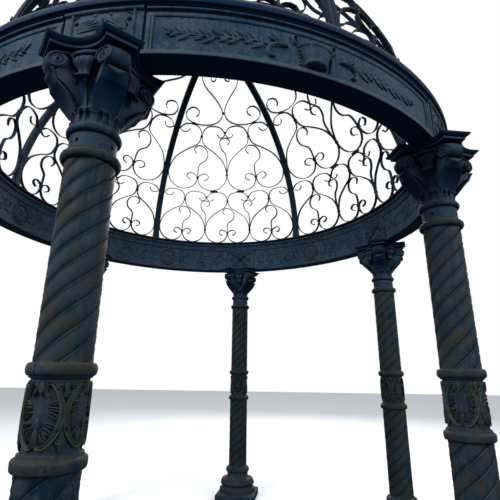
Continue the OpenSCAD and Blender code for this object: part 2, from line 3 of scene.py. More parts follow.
import bpy
import numpy as np
from mathutils import Matrix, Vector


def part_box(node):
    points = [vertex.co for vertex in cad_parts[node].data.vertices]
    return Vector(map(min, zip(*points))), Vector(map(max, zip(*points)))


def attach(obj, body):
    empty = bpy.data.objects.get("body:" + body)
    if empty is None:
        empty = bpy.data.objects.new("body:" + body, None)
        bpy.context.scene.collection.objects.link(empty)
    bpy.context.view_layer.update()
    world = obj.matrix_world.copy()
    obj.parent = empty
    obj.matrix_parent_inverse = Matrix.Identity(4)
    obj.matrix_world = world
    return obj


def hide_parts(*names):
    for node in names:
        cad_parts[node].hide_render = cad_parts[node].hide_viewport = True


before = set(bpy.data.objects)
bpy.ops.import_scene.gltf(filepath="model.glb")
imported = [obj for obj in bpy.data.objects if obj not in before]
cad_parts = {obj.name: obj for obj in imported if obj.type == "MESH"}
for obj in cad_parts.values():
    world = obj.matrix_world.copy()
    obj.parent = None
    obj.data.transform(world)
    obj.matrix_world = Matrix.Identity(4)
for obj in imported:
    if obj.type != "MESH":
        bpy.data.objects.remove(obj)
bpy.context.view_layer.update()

# The ring of columns, and the heights at which its castings stand on each other
ring = {
    "columnCircle": 1.95,    # radius of the circle through the column centres
    "bays": 6,
    "domeTurn": -5.6,        # turn of the dome against the columns, in degrees, clockwise from above
}
bayTurn = 2 * math.pi / ring["bays"]
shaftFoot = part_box("column_shaft_1")[0][2]
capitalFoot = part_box("column_capital_1")[0][2]
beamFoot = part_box("beam_1")[0][2]
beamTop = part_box("beam_1")[1][2]
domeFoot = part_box("dome_foot_ring")[1][2]
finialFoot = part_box("finial")[0][2]


# Shapes: every form is a closed skin over a grid of points

def surface(grid, rustAndShade=0.0, loop=False):
    # Row i of the grid is a ring of points round the form, and each ring is joined to the next by quads.
    # The two ends are closed by fans, unless the form is a loop whose last ring joins the first.
    rows, cols = grid.shape[:2]
    ringStart = np.arange(rows if loop else rows - 1)[:, None] * cols
    nextStart = (ringStart + cols) % (rows * cols)
    here = np.arange(cols)[None, :]
    after = (here + 1) % cols
    quads = np.stack([ringStart + here, ringStart + after, nextStart + after, nextStart + here], -1)
    quads = quads.reshape(-1, 4)
    points = grid.reshape(-1, 3)
    marks = np.broadcast_to(rustAndShade, (rows, cols)).reshape(-1)
    fans = np.empty((0, 3), int)
    if not loop:
        hub = np.full(cols, len(points))
        last = (rows - 1) * cols
        fans = np.vstack([np.stack([after[0], here[0], hub], -1),
                          np.stack([last + here[0], last + after[0], hub + 1], -1)])
        points = np.vstack([points, grid[0].mean(0), grid[-1].mean(0)])
        marks = np.append(marks, [marks[0], marks[-1]])
    # The signed volume of the skin says whether its faces point outward
    centred = points - points.mean(0)
    triangles = np.vstack([quads[:, :3], quads[:, [0, 2, 3]], fans])
    a, b, c = (centred[triangles[:, n]] for n in range(3))
    if np.einsum("ij,ij->", a, np.cross(b, c)) < 0:
        quads, fans = quads[:, ::-1], fans[:, ::-1]
    return {"points": points, "quads": quads, "fans": fans, "rustAndShade": marks}


def merged(parts):
    # Several skins as one, with each part's point numbers moved past those before it
    starts = np.cumsum([0] + [len(part["points"]) for part in parts])
    return {
        "points": np.vstack([part["points"] for part in parts]),
        "quads": np.vstack([part["quads"] + start for part, start in zip(parts, starts)]),
        "fans": np.vstack([part["fans"] + start for part, start in zip(parts, starts)]),
        "rustAndShade": np.concatenate([part["rustAndShade"] for part in parts]),
    }


def turned(points, angle, out=0.0):
    # Clockwise from above by an angle, after a step of out along +Y
    x, y = points[..., 0], points[..., 1] + out
    return np.stack([x * math.cos(angle) + y * math.sin(angle),
                     y * math.cos(angle) - x * math.sin(angle), points[..., 2]], -1)


def turnedPart(part, angle):
    return {**part, "points": turned(part["points"], angle)}


def smoothCurve(points, steps):
    # Cubic pieces through the points, each with the slope of its neighbours' chord, resampled at even lengths
    p = np.asarray(points, float)
    p = np.vstack([2 * p[0] - p[1], p, 2 * p[-1] - p[-2]])
    s = np.linspace(0, len(points) - 1, 12 * len(points))
    i = np.minimum(s.astype(int), len(points) - 2)
    t = (s - i)[:, None]
    a, b, c, d = p[i], p[i + 1], p[i + 2], p[i + 3]
    curve = 0.5 * (2 * b + (c - a) * t + (2 * a - 5 * b + 4 * c - d) * t ** 2
                   + (3 * b - 3 * c + d - a) * t ** 3)
    length = np.append(0, np.cumsum(np.linalg.norm(np.diff(curve, axis=0), axis=1)))
    even = np.linspace(0, length[-1], steps)
    return np.stack([np.interp(even, length, curve[:, n]) for n in range(curve.shape[1])], -1)


def spread(values, steps):
    # A few values as many, evenly along a path
    return np.interp(np.linspace(0, 1, steps), np.linspace(0, 1, len(values)), values)


def arc(centre, radii, start, end, steps=6):
    # Points of an ellipse's arc, between two angles in degrees
    a = np.radians(np.linspace(start, end, steps))
    return np.stack([centre[0] + radii[0] * np.cos(a), centre[1] + radii[1] * np.sin(a)], -1)


def bead(reach, foot, height, steps=9):
    # A half-round moulding: its outermost radius, its foot and its height
    half = height / 2
    return arc((reach - half, foot + half), (half, half), -90, 90, steps)


def revolved(profile, sides=56, rustAndShade=0.0):
    # A profile of radius and height carried round Z
    profile = np.vstack([np.atleast_2d(p) for p in profile])
    a = np.arange(sides) * 2 * np.pi / sides
    r = profile[:, :1] + 0 * a
    z = profile[:, 1:] + 0 * a
    marks = np.asarray(rustAndShade, float)
    if marks.ndim == 1:
        marks = marks[:, None]
    return surface(np.stack([r * np.cos(a), r * np.sin(a), z], -1), marks)


def planned(plan, profile, rustAndShade=0.0):
    # An outline in plan carried up a profile: plan gives its points for how far a moulding lies back
    rows = [np.column_stack([plan(back), np.full(len(plan(back)), z)]) for back, z in profile]
    return surface(np.array(rows), rustAndShade)


def roundedSquare(half, corner, steps=5):
    # Plan of a square with round corners, lying back by an amount
    def plan(back):
        c = half - back - corner
        return np.vstack([arc((c * sx, c * sy), (corner, corner), start, start + 90, steps)
                          for sx, sy, start in ((1, 1, 0), (-1, 1, 90), (-1, -1, 180), (1, -1, 270))])
    return plan


# Sections of relief: where each top point lies across the strip, and its share of the lift
reliefSections = {
    "leaf": ([-1, -0.82, -0.45, 0, 0.45, 0.82, 1], [0.1, 0.85, 1, 1, 1, 0.85, 0.1]),
    "fold": ([-1, -0.8, -0.5, 0, 0.5, 0.8, 1], [0.1, 0.85, 1, 0.4, 1, 0.85, 0.1]),
    "hollowLeaf": ([-1, -0.8, -0.4, 0, 0.4, 0.8, 1], [0.5, 1, 0.55, 0.35, 0.55, 1, 0.5]),
    "stem": ([-1, -0.65, 0, 0.65, 1], [0.1, 0.75, 1, 0.75, 0.1]),
    "band": ([-1, -0.92, -0.75, 0.75, 0.92, 1], [0.3, 0.85, 1, 1, 0.85, 0.3]),
}


def relief(path, widths, lifts, kind, bend, rustAndShade=0.0, sink=0.003):
    # A strip of relief: its section is carried along a path on the sheet, as wide and high as given there,
    # and bend lays the sheet on its casting
    steps = len(path)
    across, up = (np.array(values, float) for values in reliefSections[kind])
    across = np.append(across, [0.8, -0.8])
    along = np.gradient(path, axis=0)
    along /= np.linalg.norm(along, axis=1)[:, None] + 1e-12
    side = np.stack([-along[:, 1], along[:, 0]], -1)
    widths, lifts = spread(widths, steps)[:, None], spread(lifts, steps)[:, None]
    flat = path[:, None, :] + side[:, None, :] * (across[None, :, None] * widths[..., None])
    high = np.concatenate([lifts * up[None, :], np.full((steps, 2), -sink)], 1)
    return surface(bend(flat[..., 0], flat[..., 1], high), rustAndShade)


def leafPath(root, heading, length, curl, steps=7):
    # An arc on the sheet from its root, with its heading and its whole turn in degrees
    turn = np.radians(heading) + np.radians(curl) * np.linspace(0, 1, steps)
    strides = np.stack([np.cos(turn), np.sin(turn)], -1)[1:] * (length / (steps - 1))
    return np.asarray(root) + np.vstack([[0, 0], np.cumsum(strides, 0)])


leafWidths = [0.16, 0.62, 0.95, 1, 0.86, 0.55, 0.06]
leafLifts = [0.5, 0.8, 1, 1, 1, 0.9, 0.6]


def leaf(root, heading, length, half, lift, bend, curl=0.0, kind="leaf", rustAndShade=0.0):
    path = leafPath(root, heading, length, curl)
    return relief(path, np.array(leafWidths) * half, np.array(leafLifts) * lift, kind, bend, rustAndShade)


def scroll(points, widths, lifts, bend, steps=26, kind="stem", rustAndShade=0.0):
    return relief(smoothCurve(points, steps), widths, lifts, kind, bend, rustAndShade)


def berry(centre, radius, lift, bend, rustAndShade=0.0):
    # A small half ball on the sheet
    a = np.arange(6) * np.pi / 3
    level = np.array([-0.5, 0.1, 0.7, 0.97])[:, None]
    girth = np.sqrt(1 - level ** 2) * radius
    x, y = centre[0] + girth * np.cos(a), centre[1] + girth * np.sin(a)
    return surface(bend(x, y, level * lift + 0 * a), rustAndShade)


def onRound(radius, foot, middle=0.0, outward=1):
    # Lays a sheet on a round wall: x runs clockwise along it, y up, and height away from the wall
    def bend(x, y, high):
        angle = middle + x / radius
        r = radius + outward * high
        return np.stack([r * np.sin(angle), r * np.cos(angle), foot + y + 0 * high], -1)
    return bend


def border(low, high, section, bend, steps=12):
    # A mitred frame: the section's points lie in from the rectangle's edge and up from the sheet,
    # and the rectangle's sides are cut into steps to follow the wall
    run = np.linspace(-1, 1, steps + 1)[:-1]
    one = np.ones(steps)
    fx = np.concatenate([run, one, -run, -one])[:, None]
    fy = np.concatenate([-one, run, one, -run])[:, None]
    inset, up = (np.array(values, float)[None, :] for values in zip(*section))
    middle = (np.asarray(low) + high) / 2
    half = (np.asarray(high) - low) / 2
    return surface(bend(middle[0] + fx * (half[0] - inset), middle[1] + fy * (half[1] - inset), up + 0 * fx),
                   loop=True)


# Shader maths: a socket that can be added, multiplied and compared in plain expressions

class Wire:
    def __init__(self, tree, socket=None):
        self.tree = tree
        self.socket = socket

    def node(self, kind, settings=None, sockets=None, outlet=0):
        # Adds a node: its settings come first, then its sockets' values or links, by name or by number
        made = self.tree.nodes.new("ShaderNode" + kind)
        for key, value in (settings or {}).items():
            setattr(made, key, value)
        for key, value in (sockets or {}).items():
            if isinstance(value, Wire):
                self.tree.links.new(value.socket, made.inputs[key])
            else:
                made.inputs[key].default_value = value
        return Wire(self.tree, made.outputs[outlet])

    def maths(self, operation, first, second):
        return self.node("Math", {"operation": operation}, {0: first, 1: second})

    def __add__(self, other):
        return self.maths("ADD", self, other)

    __radd__ = __add__

    def __rsub__(self, other):
        return self.maths("SUBTRACT", other, self)

    def __neg__(self):
        return self.maths("SUBTRACT", 0.0, self)

    def __mul__(self, other):
        return self.maths("MULTIPLY", self, other)

    __rmul__ = __mul__

    def ease(self, low, high):
        # A smooth step from 0 at low to 1 at high
        return self.node("MapRange", {"interpolation_type": "SMOOTHSTEP"}, {0: self, 1: low, 2: high})

    def mix(self, first, second):
        # The first colour where this value is 0, and the second where it is 1
        return self.node("Mix", {"data_type": "RGBA"}, {0: self, 6: first, 7: second}, outlet=2)


# Weathered paint over iron: what all castings and bars share
paintWork = {
    "deep": (0.0052, 0.0170, 0.0360, 1),    # paint where rain keeps it clean
    "pale": (0.0170, 0.0340, 0.0600, 1),    # chalked paint
    "dust": (0.0420, 0.0590, 0.0800, 1),    # dry dust and lime in a fine mottle
    "wornAndHighlit": (0.0340, 0.0540, 0.0720, 1),    # rubbed edges, with a painted highlight along them
    "paintedShade": (0.0034, 0.0165, 0.0400, 1),    # painted shade in the hollows and under overhangs
    # black, painted for the shade inside a hole
    "holeShade": (0.0006, 0.0008, 0.0020, 1),
    "earth": (0.0270, 0.0290, 0.0250, 1),   # olive grey where the paint has worn thin
    "rustDark": (0.0260, 0.0180, 0.0150, 1),
    "rustLight": (0.0600, 0.0450, 0.0380, 1),
    "algae": (0.0340, 0.0430, 0.0240, 1),
    "lichen": (0.0460, 0.0740, 0.0700, 1),  # pale growth on what the rain runs over
    "bumpDepth": 0.0020,
    "specular": 0.05,                       # weathered paint is nearly matt
    "specularTint": (0.45, 0.75, 1.0, 1),
}


def ironFinish(name, rusty=0.35, earthy=0.4, green=0.3, shine=0.0, tone=1.0, mottle=0.55, paintedShadeTone=1.0,
               tint=(1, 1, 1)):
    # Two paint tones in broad clouds, a fine mottle, streaks down the faces, worn edges with a painted
    # highlight, painted shade in the hollows, olive grey patches, rust where the piece is marked for it and
    # algae on the faces that look up.
    # A mark below 0 is painted shade for a hollow that the light doesn't reach, below -1 painted black for a
    # hole, and above 1 pale growth.
    material = bpy.data.materials.new(name)
    material.use_nodes = True
    tree = material.node_tree
    shader = tree.nodes["Principled BSDF"]
    wire = Wire(tree)
    place = wire.node("TexCoord", outlet="Object")

    def noise(scale, detail, stretch=None):
        where = place
        if stretch:
            where = wire.node("Mapping", None, {"Vector": place, "Scale": stretch})
        return wire.node("TexNoise", None,
                         {"Vector": where, "Scale": scale, "Detail": detail, "Roughness": 0.6})

    facing = wire.node("NewGeometry", outlet="Normal")
    upward = wire.node("SeparateXYZ", None, {0: facing}, outlet=2)
    edge = wire.node("Attribute", {"attribute_name": "edge"}, outlet="Fac")
    marked = wire.node("Attribute", {"attribute_name": "rustAndShade"}, outlet="Fac")
    clouds, blotches, specks = noise(3.2, 3.0), noise(17.0, 4.0), noise(85.0, 5.0)
    patches = noise(7.3, 2.0)
    streaks = noise(46.0, 3.0, (1.0, 1.0, 0.09))

    shade = lambda colour, share=tone: tuple(share * t * c for c, t in zip(colour, tint)) + (1,)
    chalked = (clouds * 0.6 + streaks * 0.4).ease(0.36, 0.62)
    paint = chalked.mix(shade(paintWork["deep"]), shade(paintWork["pale"]))
    dusty = (blotches * 0.5 + specks * 0.5 + streaks * 0.2).ease(0.55, 0.74) * mottle
    paint = dusty.mix(paint, shade(paintWork["dust"]))
    brown = (patches * 0.7 + blotches * 0.4 + marked * 0.3).ease(0.48, 0.78) * earthy
    paint = brown.mix(paint, shade(paintWork["earth"]))
    # Convex edges are lightened: rubbed paint, and a painted highlight along them
    paint = (edge.ease(0.08, 0.5) * (0.2 + blotches * 0.8)).mix(paint, shade(paintWork["wornAndHighlit"]))
    rustTone = specks.ease(0.38, 0.66).mix(paintWork["rustDark"], paintWork["rustLight"])
    grown = marked.ease(1.0, 2.0)
    rusted = (marked * 0.8 + blotches * 0.9 + specks * 0.35 + rusty * 0.4).ease(0.98, 1.5)
    rusted = rusted * (1.0 - marked.ease(1.0, 1.15))
    paint = (rusted * 0.8).mix(paint, rustTone)
    mossy = upward.ease(0.1, 0.8) * (blotches * 0.6 + clouds * 0.6).ease(0.42, 0.7) * green
    paint = mossy.mix(paint, paintWork["algae"])
    paint = (grown * (blotches * 0.9 + specks * 0.5)).mix(paint, paintWork["lichen"])
    # Painted shade: hollows found from the edge marks, and marks below 0, turn toward the shade colour
    hollow = (-edge).ease(0.2, 0.9)
    unlit = (-marked).ease(0.1, 0.9)
    paint = wire.maths("MAXIMUM", hollow * 0.7, unlit).mix(paint, shade(paintWork["paintedShade"], paintedShadeTone))
    # Marks below -1 turn black, as painted shade inside a hole
    deep = (-1.0 - marked).ease(0.1, 0.8)
    paint = deep.mix(paint, paintWork["holeShade"])
    tree.links.new(paint.socket, shader.inputs["Base Color"])

    rough = (0.50 - shine + dusty * 0.18 + rusted * 0.2 + hollow * 0.12 + blotches * 0.12
             + deep * 0.4)
    tree.links.new(rough.socket, shader.inputs["Roughness"])
    height = specks * 0.45 + blotches * 0.8 + rusted * 0.25
    bump = wire.node("Bump", None, {"Height": height, "Strength": 0.55, "Distance": paintWork["bumpDepth"]})
    tree.links.new(bump.socket, shader.inputs["Normal"])
    shader.inputs["Specular IOR Level"].default_value = paintWork["specular"]
    shader.inputs["Specular Tint"].default_value = paintWork["specularTint"]
    return material


finishes = {
    "base_iron": ironFinish("baseIron", rusty=0.4, earthy=0.6, green=0.5, tone=1.05, tint=(1.05, 1.0, 0.86)),
    "shaft_iron": ironFinish("shaftIron", rusty=0.4, earthy=0.9, green=0.15, shine=0.06, tone=0.85,
                             tint=(1.12, 1.0, 0.80)),
    "capital_iron": ironFinish("capitalIron", rusty=0.2, earthy=0.3, green=0.2, tone=0.85, paintedShadeTone=1.15),
    "block_iron": ironFinish("blockIron", rusty=0.15, earthy=0.35, green=0.8, tone=1.2, mottle=0.7),
    "beam_iron": ironFinish("beamIron", rusty=0.15, earthy=0.3, green=0.85, tone=1.2, mottle=0.7),
    "foot_ring_iron": ironFinish("footRingIron", rusty=0.3, earthy=0.5, green=0.7, tone=0.8),
    "rib_iron": ironFinish("ribIron", rusty=0.15, earthy=0.4, green=0.5, tone=0.6, mottle=0.35),
    "scroll_iron": ironFinish("scrollIron", rusty=0.1, earthy=0.3, green=0.2, tone=0.5, mottle=0.25),
    "crown_iron": ironFinish("crownIron", rusty=0.2, earthy=0.4, green=0.5, tone=0.9),
}
print("finishes", len(finishes))


def edgeMarks(mesh):
    # How far each point stands out from the middle of its neighbours, along its normal and against its
    # edges' mean length: above 0 on an edge, below 0 in a hollow. It is then blended with its neighbours.
    count = len(mesh.vertices)
    points = np.empty(3 * count)
    mesh.vertices.foreach_get("co", points)
    points = points.reshape(-1, 3)
    normals = np.empty(3 * count)
    mesh.vertex_normals.foreach_get("vector", normals)
    normals = normals.reshape(-1, 3)
    edges = np.empty(2 * len(mesh.edges), int)
    mesh.edges.foreach_get("vertices", edges)
    ends = np.vstack([edges.reshape(-1, 2), edges.reshape(-1, 2)[:, ::-1]])
    near = np.maximum(np.bincount(ends[:, 0], minlength=count), 1)
    around = lambda values: np.bincount(ends[:, 0], weights=values[ends[:, 1]], minlength=count) / near
    middle = np.stack([around(points[:, n]) for n in range(3)], -1)
    length = np.linalg.norm(points[ends[:, 0]] - points[ends[:, 1]], axis=1)
    length = np.bincount(ends[:, 0], weights=length, minlength=count) / near
    raised = np.einsum("ij,ij->i", points - middle, normals) / (length + 1e-9)
    return 0.6 * raised + 0.4 * around(raised)


def makePiece(name, shape, slotName, nodes, angle=0.0, out=0.0):
    # Faces that meet at more than the sharp angle keep a hard edge between them
    sharpAngle = math.radians(40)
    points = turned(shape["points"], angle, out)
    quads, fans = shape["quads"], shape["fans"]
    mesh = bpy.data.meshes.new(name)
    mesh.vertices.add(len(points))
    mesh.vertices.foreach_set("co", points.ravel())
    corners = np.concatenate([quads.ravel(), fans.ravel()])
    mesh.loops.add(len(corners))
    mesh.loops.foreach_set("vertex_index", corners)
    starts = np.concatenate([4 * np.arange(len(quads)), 4 * len(quads) + 3 * np.arange(len(fans))])
    mesh.polygons.add(len(starts))
    mesh.polygons.foreach_set("loop_start", starts)
    mesh.polygons.foreach_set("use_smooth", np.ones(len(starts), bool))
    mesh.update(calc_edges=True)
    mesh.attributes.new("rustAndShade", "FLOAT", "POINT").data.foreach_set("value", shape["rustAndShade"])
    mesh.attributes.new("edge", "FLOAT", "POINT").data.foreach_set("value", edgeMarks(mesh))
    mesh.set_sharp_from_angle(angle=sharpAngle)
    mesh.materials.append(finishes[slotName])
    piece = bpy.data.objects.new(name, mesh)
    bpy.context.scene.collection.objects.link(piece)
    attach(piece, "root")
    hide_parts(*nodes)
    print(name, 2 * len(quads) + len(fans), "triangles")


# Column base: square plinth, round step, torus, flared bell and torus
baseLook = {
    "plinth": 0.444, "plinthTop": 0.070, "plinthCorner": 0.004,
    "step": 0.208, "stepEdge": 0.114, "stepTop": 0.140,
    "footTorus": 0.198, "footTorusHeight": 0.056,
    "bellFoot": 0.186, "bellTop": 0.120, "bellHeight": 0.072,
    "ankleTorus": 0.138, "ankleTorusHeight": 0.070,
}


def columnBase():
    b = baseLook
    top = b["plinthTop"]
    plinth = planned(roundedSquare(b["plinth"] / 2, b["plinthCorner"]),
                     [(0.0005, 0), (0, 0.001), (0, top - 0.014), (0.001, top - 0.006), (0.003, top - 0.002),
                      (0.007, top)], 0.15)
    bellZ = b["stepTop"] + b["footTorusHeight"]
    ankleZ = bellZ + b["bellHeight"]
    bellCurve = arc((b["bellFoot"], ankleZ - 0.010),
                    (b["bellTop"] - b["bellFoot"], -(b["bellHeight"] - 0.026)), 90, 0, 14)
    step = revolved([
        (b["step"] - 0.003, top - 0.002), (b["step"] - 0.001, top + 0.001), (b["step"], top + 0.004),
        (b["step"], b["stepEdge"] - 0.006),
        arc((b["step"] - 0.007, b["stepEdge"] - 0.007), (0.007, 0.007), 0, 90, 5),
        (b["footTorus"] - 0.020, b["stepEdge"] + 0.001), (b["footTorus"] - 0.025, b["stepTop"] - 0.004),
        (b["footTorus"] - 0.027, b["stepTop"] + 0.002)], rustAndShade=0.42)
    torus = revolved([(0.150, b["stepTop"] + 0.004),
                      bead(b["footTorus"], b["stepTop"], b["footTorusHeight"], 15),
                      (0.150, bellZ - 0.002)], rustAndShade=0.1)
    bell = revolved([
        (b["bellFoot"] - 0.012, bellZ - 0.008), (b["bellFoot"], bellZ - 0.004),
        (b["bellFoot"], bellZ + 0.008), (b["bellFoot"] - 0.002, bellZ + 0.011),
        (b["bellFoot"] - 0.006, bellZ + 0.012), bellCurve[1:],
        (b["bellTop"] + 0.002, ankleZ - 0.009), (b["bellTop"] + 0.003, ankleZ - 0.003),
        (b["bellTop"], ankleZ + 0.004)], rustAndShade=0.05)
    ankle = revolved([(0.090, ankleZ + 0.002), bead(b["ankleTorus"], ankleZ, b["ankleTorusHeight"], 17),
                      (0.100, shaftFoot - 0.0005)], rustAndShade=0.12)
    return merged([plinth, step, torus, bell, ankle])


# Column shaft: two lengths with spiral strands, the carved band between its rings, and the collar
shaftLook = {
    "lowerRadius": 0.107, "lowerHeight": 0.742,
    "upperRadius": 0.103, "upperHeight": 0.790,
    "strands": 6, "lead": 0.540, "start": -12.0,
    "lowerRing": 0.123, "lowerRingHeight": 0.050,
    "bandGround": 0.098, "bandHeight": 0.258,
    "upperRing": 0.121, "upperRingHeight": 0.036,
    "collar": 0.1225,
}


def strandShaft(radius, foot, top):
    # A column of the grid keeps its place on its strand, so the grid turns with the height. The place runs
    # down a strand from the groove over it: a thin rim, a shallow dip, the round back and the fall to the
    # next groove.
    s = shaftLook
    place = np.array([0, 0.03, 0.05, 0.075, 0.10, 0.125, 0.16, 0.25, 0.40, 0.55, 0.70, 0.82, 0.90, 0.95,
                      0.98])
    sunk = np.array([8.5, 6.0, 2.2, 0.6, 0.8, 2.0, 2.6, 2.0, 0.7, 0.0, 0.3, 1.5, 3.5, 6.0, 8.0]) / 1000
    # Marks across a strand: painted shade in the grooves, rust and brown toward the rim
    grooveShadeAndRust = np.array([-0.7, -0.4, 0.1, 0.34, 0.30, 0.16, 0.10, 0.10, 0.14, 0.20, 0.14, 0.08, -0.05, -0.35,
                     -0.6])
    place = (place + np.arange(s["strands"])[:, None]).ravel()
    rows = 40
    z = np.linspace(foot, top, rows)[:, None]
    r = radius - np.tile(sunk, s["strands"])
    angle = 2 * np.pi * (place / s["strands"] + (z - foot) / s["lead"]) + math.radians(s["start"])
    return surface(np.stack([r * np.cos(angle), r * np.sin(angle), z + 0 * angle], -1),
                   np.tile(grooveShadeAndRust, s["strands"]))


def bandCarving(bend, height, girth):
    # Mirrored pairs of C-scrolls, back to back, with leaves in their hollows, four pairs round the band.
    # Across a pair 0 is its middle and 0.5 the line where it meets the next one.
    parts = []
    pairs = 4
    pitch = girth / pairs
    for n in range(pairs):
        for side in (-1, 1):
            at = lambda x, y: (pitch * (n + side * x), height * y)
            bow = [at(0.20, 0.77), at(0.12, 0.80), at(0.09, 0.88), at(0.16, 0.95), at(0.27, 0.90),
                   at(0.38, 0.77), at(0.45, 0.62), at(0.455, 0.47), at(0.41, 0.32), at(0.30, 0.18),
                   at(0.16, 0.09), at(0.05, 0.10), at(0.03, 0.17), at(0.09, 0.21), at(0.14, 0.17)]
            parts.append(scroll(bow, [0.003, 0.006, 0.009, 0.010, 0.009, 0.006, 0.003],
                                [0.009, 0.010, 0.012, 0.013, 0.012, 0.010, 0.009], bend, 36,
                                "hollowLeaf", 1.55))
            heading = 90 - 90 * side
            # Leaves: their root, way and turn, the way being up from the outside
            for x, y, way, length, half, curl in (
                    (0.40, 0.44, 118, 0.046, 0.010, 48), (0.42, 0.56, 140, 0.040, 0.009, 42),
                    (0.37, 0.33, 128, 0.036, 0.009, 40), (0.40, 0.68, 170, 0.034, 0.008, 40),
                    (0.30, 0.24, 122, 0.040, 0.011, 36), (0.20, 0.15, 106, 0.046, 0.011, 16),
                    (0.30, 0.86, 62, 0.026, 0.008, -60), (0.44, 0.72, 70, 0.034, 0.008, -44),
                    (0.46, 0.40, -60, 0.034, 0.009, 30), (0.37, 0.20, -46, 0.038, 0.010, 26)):
                parts.append(leaf(at(x, y), heading + side * way, length, half, 0.011, bend,
                                  side * curl, "fold", 0.2))
        for y, turn, length in ((0.12, 90, 0.058), (0.97, -90, 0.046), (0.30, 90, 0.044)):
            parts.append(leaf((pitch * n, height * y), turn, length, 0.011, 0.011, bend, rustAndShade=0.25))
        parts.append(leaf((pitch * (n + 0.5), height * 0.03), 90, 0.074, 0.012, 0.010, bend, rustAndShade=0.4))
        parts.append(leaf((pitch * (n + 0.5), height * 0.98), -90, 0.044, 0.010, 0.009, bend, rustAndShade=0.4))
    return parts


def columnShaft():
    s = shaftLook
    ringZ = shaftFoot + s["lowerHeight"]
    bandZ = ringZ + s["lowerRingHeight"]
    upperRingZ = bandZ + s["bandHeight"]
    upperZ = upperRingZ + s["upperRingHeight"]
    collarZ = upperZ + s["upperHeight"]
    low, high = upperRingZ - 0.004, upperZ + 0.005
    ground, ridge = s["bandGround"], s["bandGround"] + 0.010
    parts = [
        strandShaft(s["lowerRadius"], shaftFoot, ringZ + 0.004),
        strandShaft(s["upperRadius"], upperZ - 0.001, collarZ + 0.006),
        # The lower ring: a round band whose top runs in a hollow up to the carved band, painted dark as shade
        # at its foot and rusty above
        revolved([(0.080, ringZ), (0.107, ringZ - 0.001), (0.112, ringZ + 0.0005),
                  arc((0.112, ringZ + 0.012), (0.010, 0.0115), -90, -15, 6),
                  arc((0.112, ringZ + 0.030), (s["lowerRing"] - 0.112, 0.013), 0, 80, 6),
                  (0.110, bandZ - 0.005), (0.1085, bandZ - 0.001), (0.080, bandZ)],
                 rustAndShade=[0, -0.5, -0.1] + 6 * [0.15] + 6 * [0.35] + [0.3, 0.3, 0]),
        # The carved band's ground between its two ridges, rusty on the lower ridge and painted dark as shade
        # up the ground, most under the upper ring
        revolved([(0.080, bandZ - 0.002), (ridge, bandZ - 0.001), (ridge, bandZ + 0.005),
                  (ground + 0.001, bandZ + 0.010), (ground, bandZ + 0.018),
                  (ground, upperRingZ - 0.022), (ground + 0.001, upperRingZ - 0.013),
                  (ridge, upperRingZ - 0.009), (ridge, low), (0.080, low + 0.002)],
                 rustAndShade=[0, 0.4, 0.3, -0.1, -0.25, -0.25, -0.3, -0.4, -0.9, -1]),
        # The upper ring: a flat band with round edges, painted dark as shade on its lower edge and lighter,
        # with rust, toward the top one as painted light
        revolved([(0.080, low), (0.106, low),
                  arc((s["upperRing"] - 0.012, (low + high) / 2), (0.012, (high - low) / 2), -82, 82, 13),
                  (0.1060, high + 0.001), (0.080, high + 0.001)],
                 rustAndShade=[0, -0.9, -0.7, -0.5, -0.3, -0.15, 0, 0.1, 0.15, 0.2, 0.3, 0.4, 0.5, 0.5, 0.4, 0.2, 0]),
        # The collar: a full torus, whose top runs in a fillet up to the neck; painted dark as shade
        # underneath, grading to rust over its top
        revolved([(0.080, collarZ), (0.100, collarZ),
                  arc((s["collar"] - 0.0205, collarZ + 0.024), (0.0205, 0.023), -88, 20, 12),
                  (0.1195, collarZ + 0.036), (0.1150, collarZ + 0.041), (0.1085, collarZ + 0.045),
                  (0.1035, capitalFoot - 0.002), (0.1010, capitalFoot), (0.080, capitalFoot)],
                 rustAndShade=[0, -0.9] + [-0.8, -0.6, -0.45, -0.3, -0.2, -0.1, 0, 0.05, 0.1, 0.25, 0.4, 0.5]
                 + [0.35, 0.25, 0.2, 0.2, 0.1, 0]),
    ]
    # A joint runs down the upper ring at the back of a strand
    seam = onRound(s["upperRing"], low)
    seamLine = np.array([(0.03, 0.002), (0.03, 0.022), (0.03, high - low - 0.002)])
    parts.append(relief(seamLine, [0.0009], [0.0008], "stem", seam, -1.0, 0.002))
    parts += bandCarving(onRound(ground, bandZ + 0.010), s["bandHeight"] - 0.024, 2 * math.pi * ground)
    return merged(parts)


# Capital: neck, astragal, throat with pairs of niches, bell, corner leaves, small leaves, volutes,
# side flowers and abacus
capitalLook = {
    "neck": 0.097, "neckHeight": 0.072,
    "astragal": 0.1140, "astragalHeight": 0.039,
    "throat": 0.096, "throatHeight": 0.064,
    "nichePairs": 8, "nicheDepth": 0.010,
    "nicheOff": 0.177, "nicheHalf": 0.138,   # a niche's place and half width, as shares of a pair's width
    "bellFoot": 0.094, "bellLip": 0.156, "bellHeight": 0.250,
    "abacus": 0.495, "abacusLow": 0.015, "abacusBack": 0.016, "abacusCut": 0.180, "abacusHollow": 0.067,
    "voluteRadius": 0.039, "voluteBulge": 0.008, "voluteReach": 0.236, "voluteDrop": 0.020,
    "holeRadius": 0.0078, "holeTurn": 10.0,
}


def bellRadius(share):
    c = capitalLook
    return c["bellFoot"] + (c["bellLip"] - c["bellFoot"]) * share ** 2.2


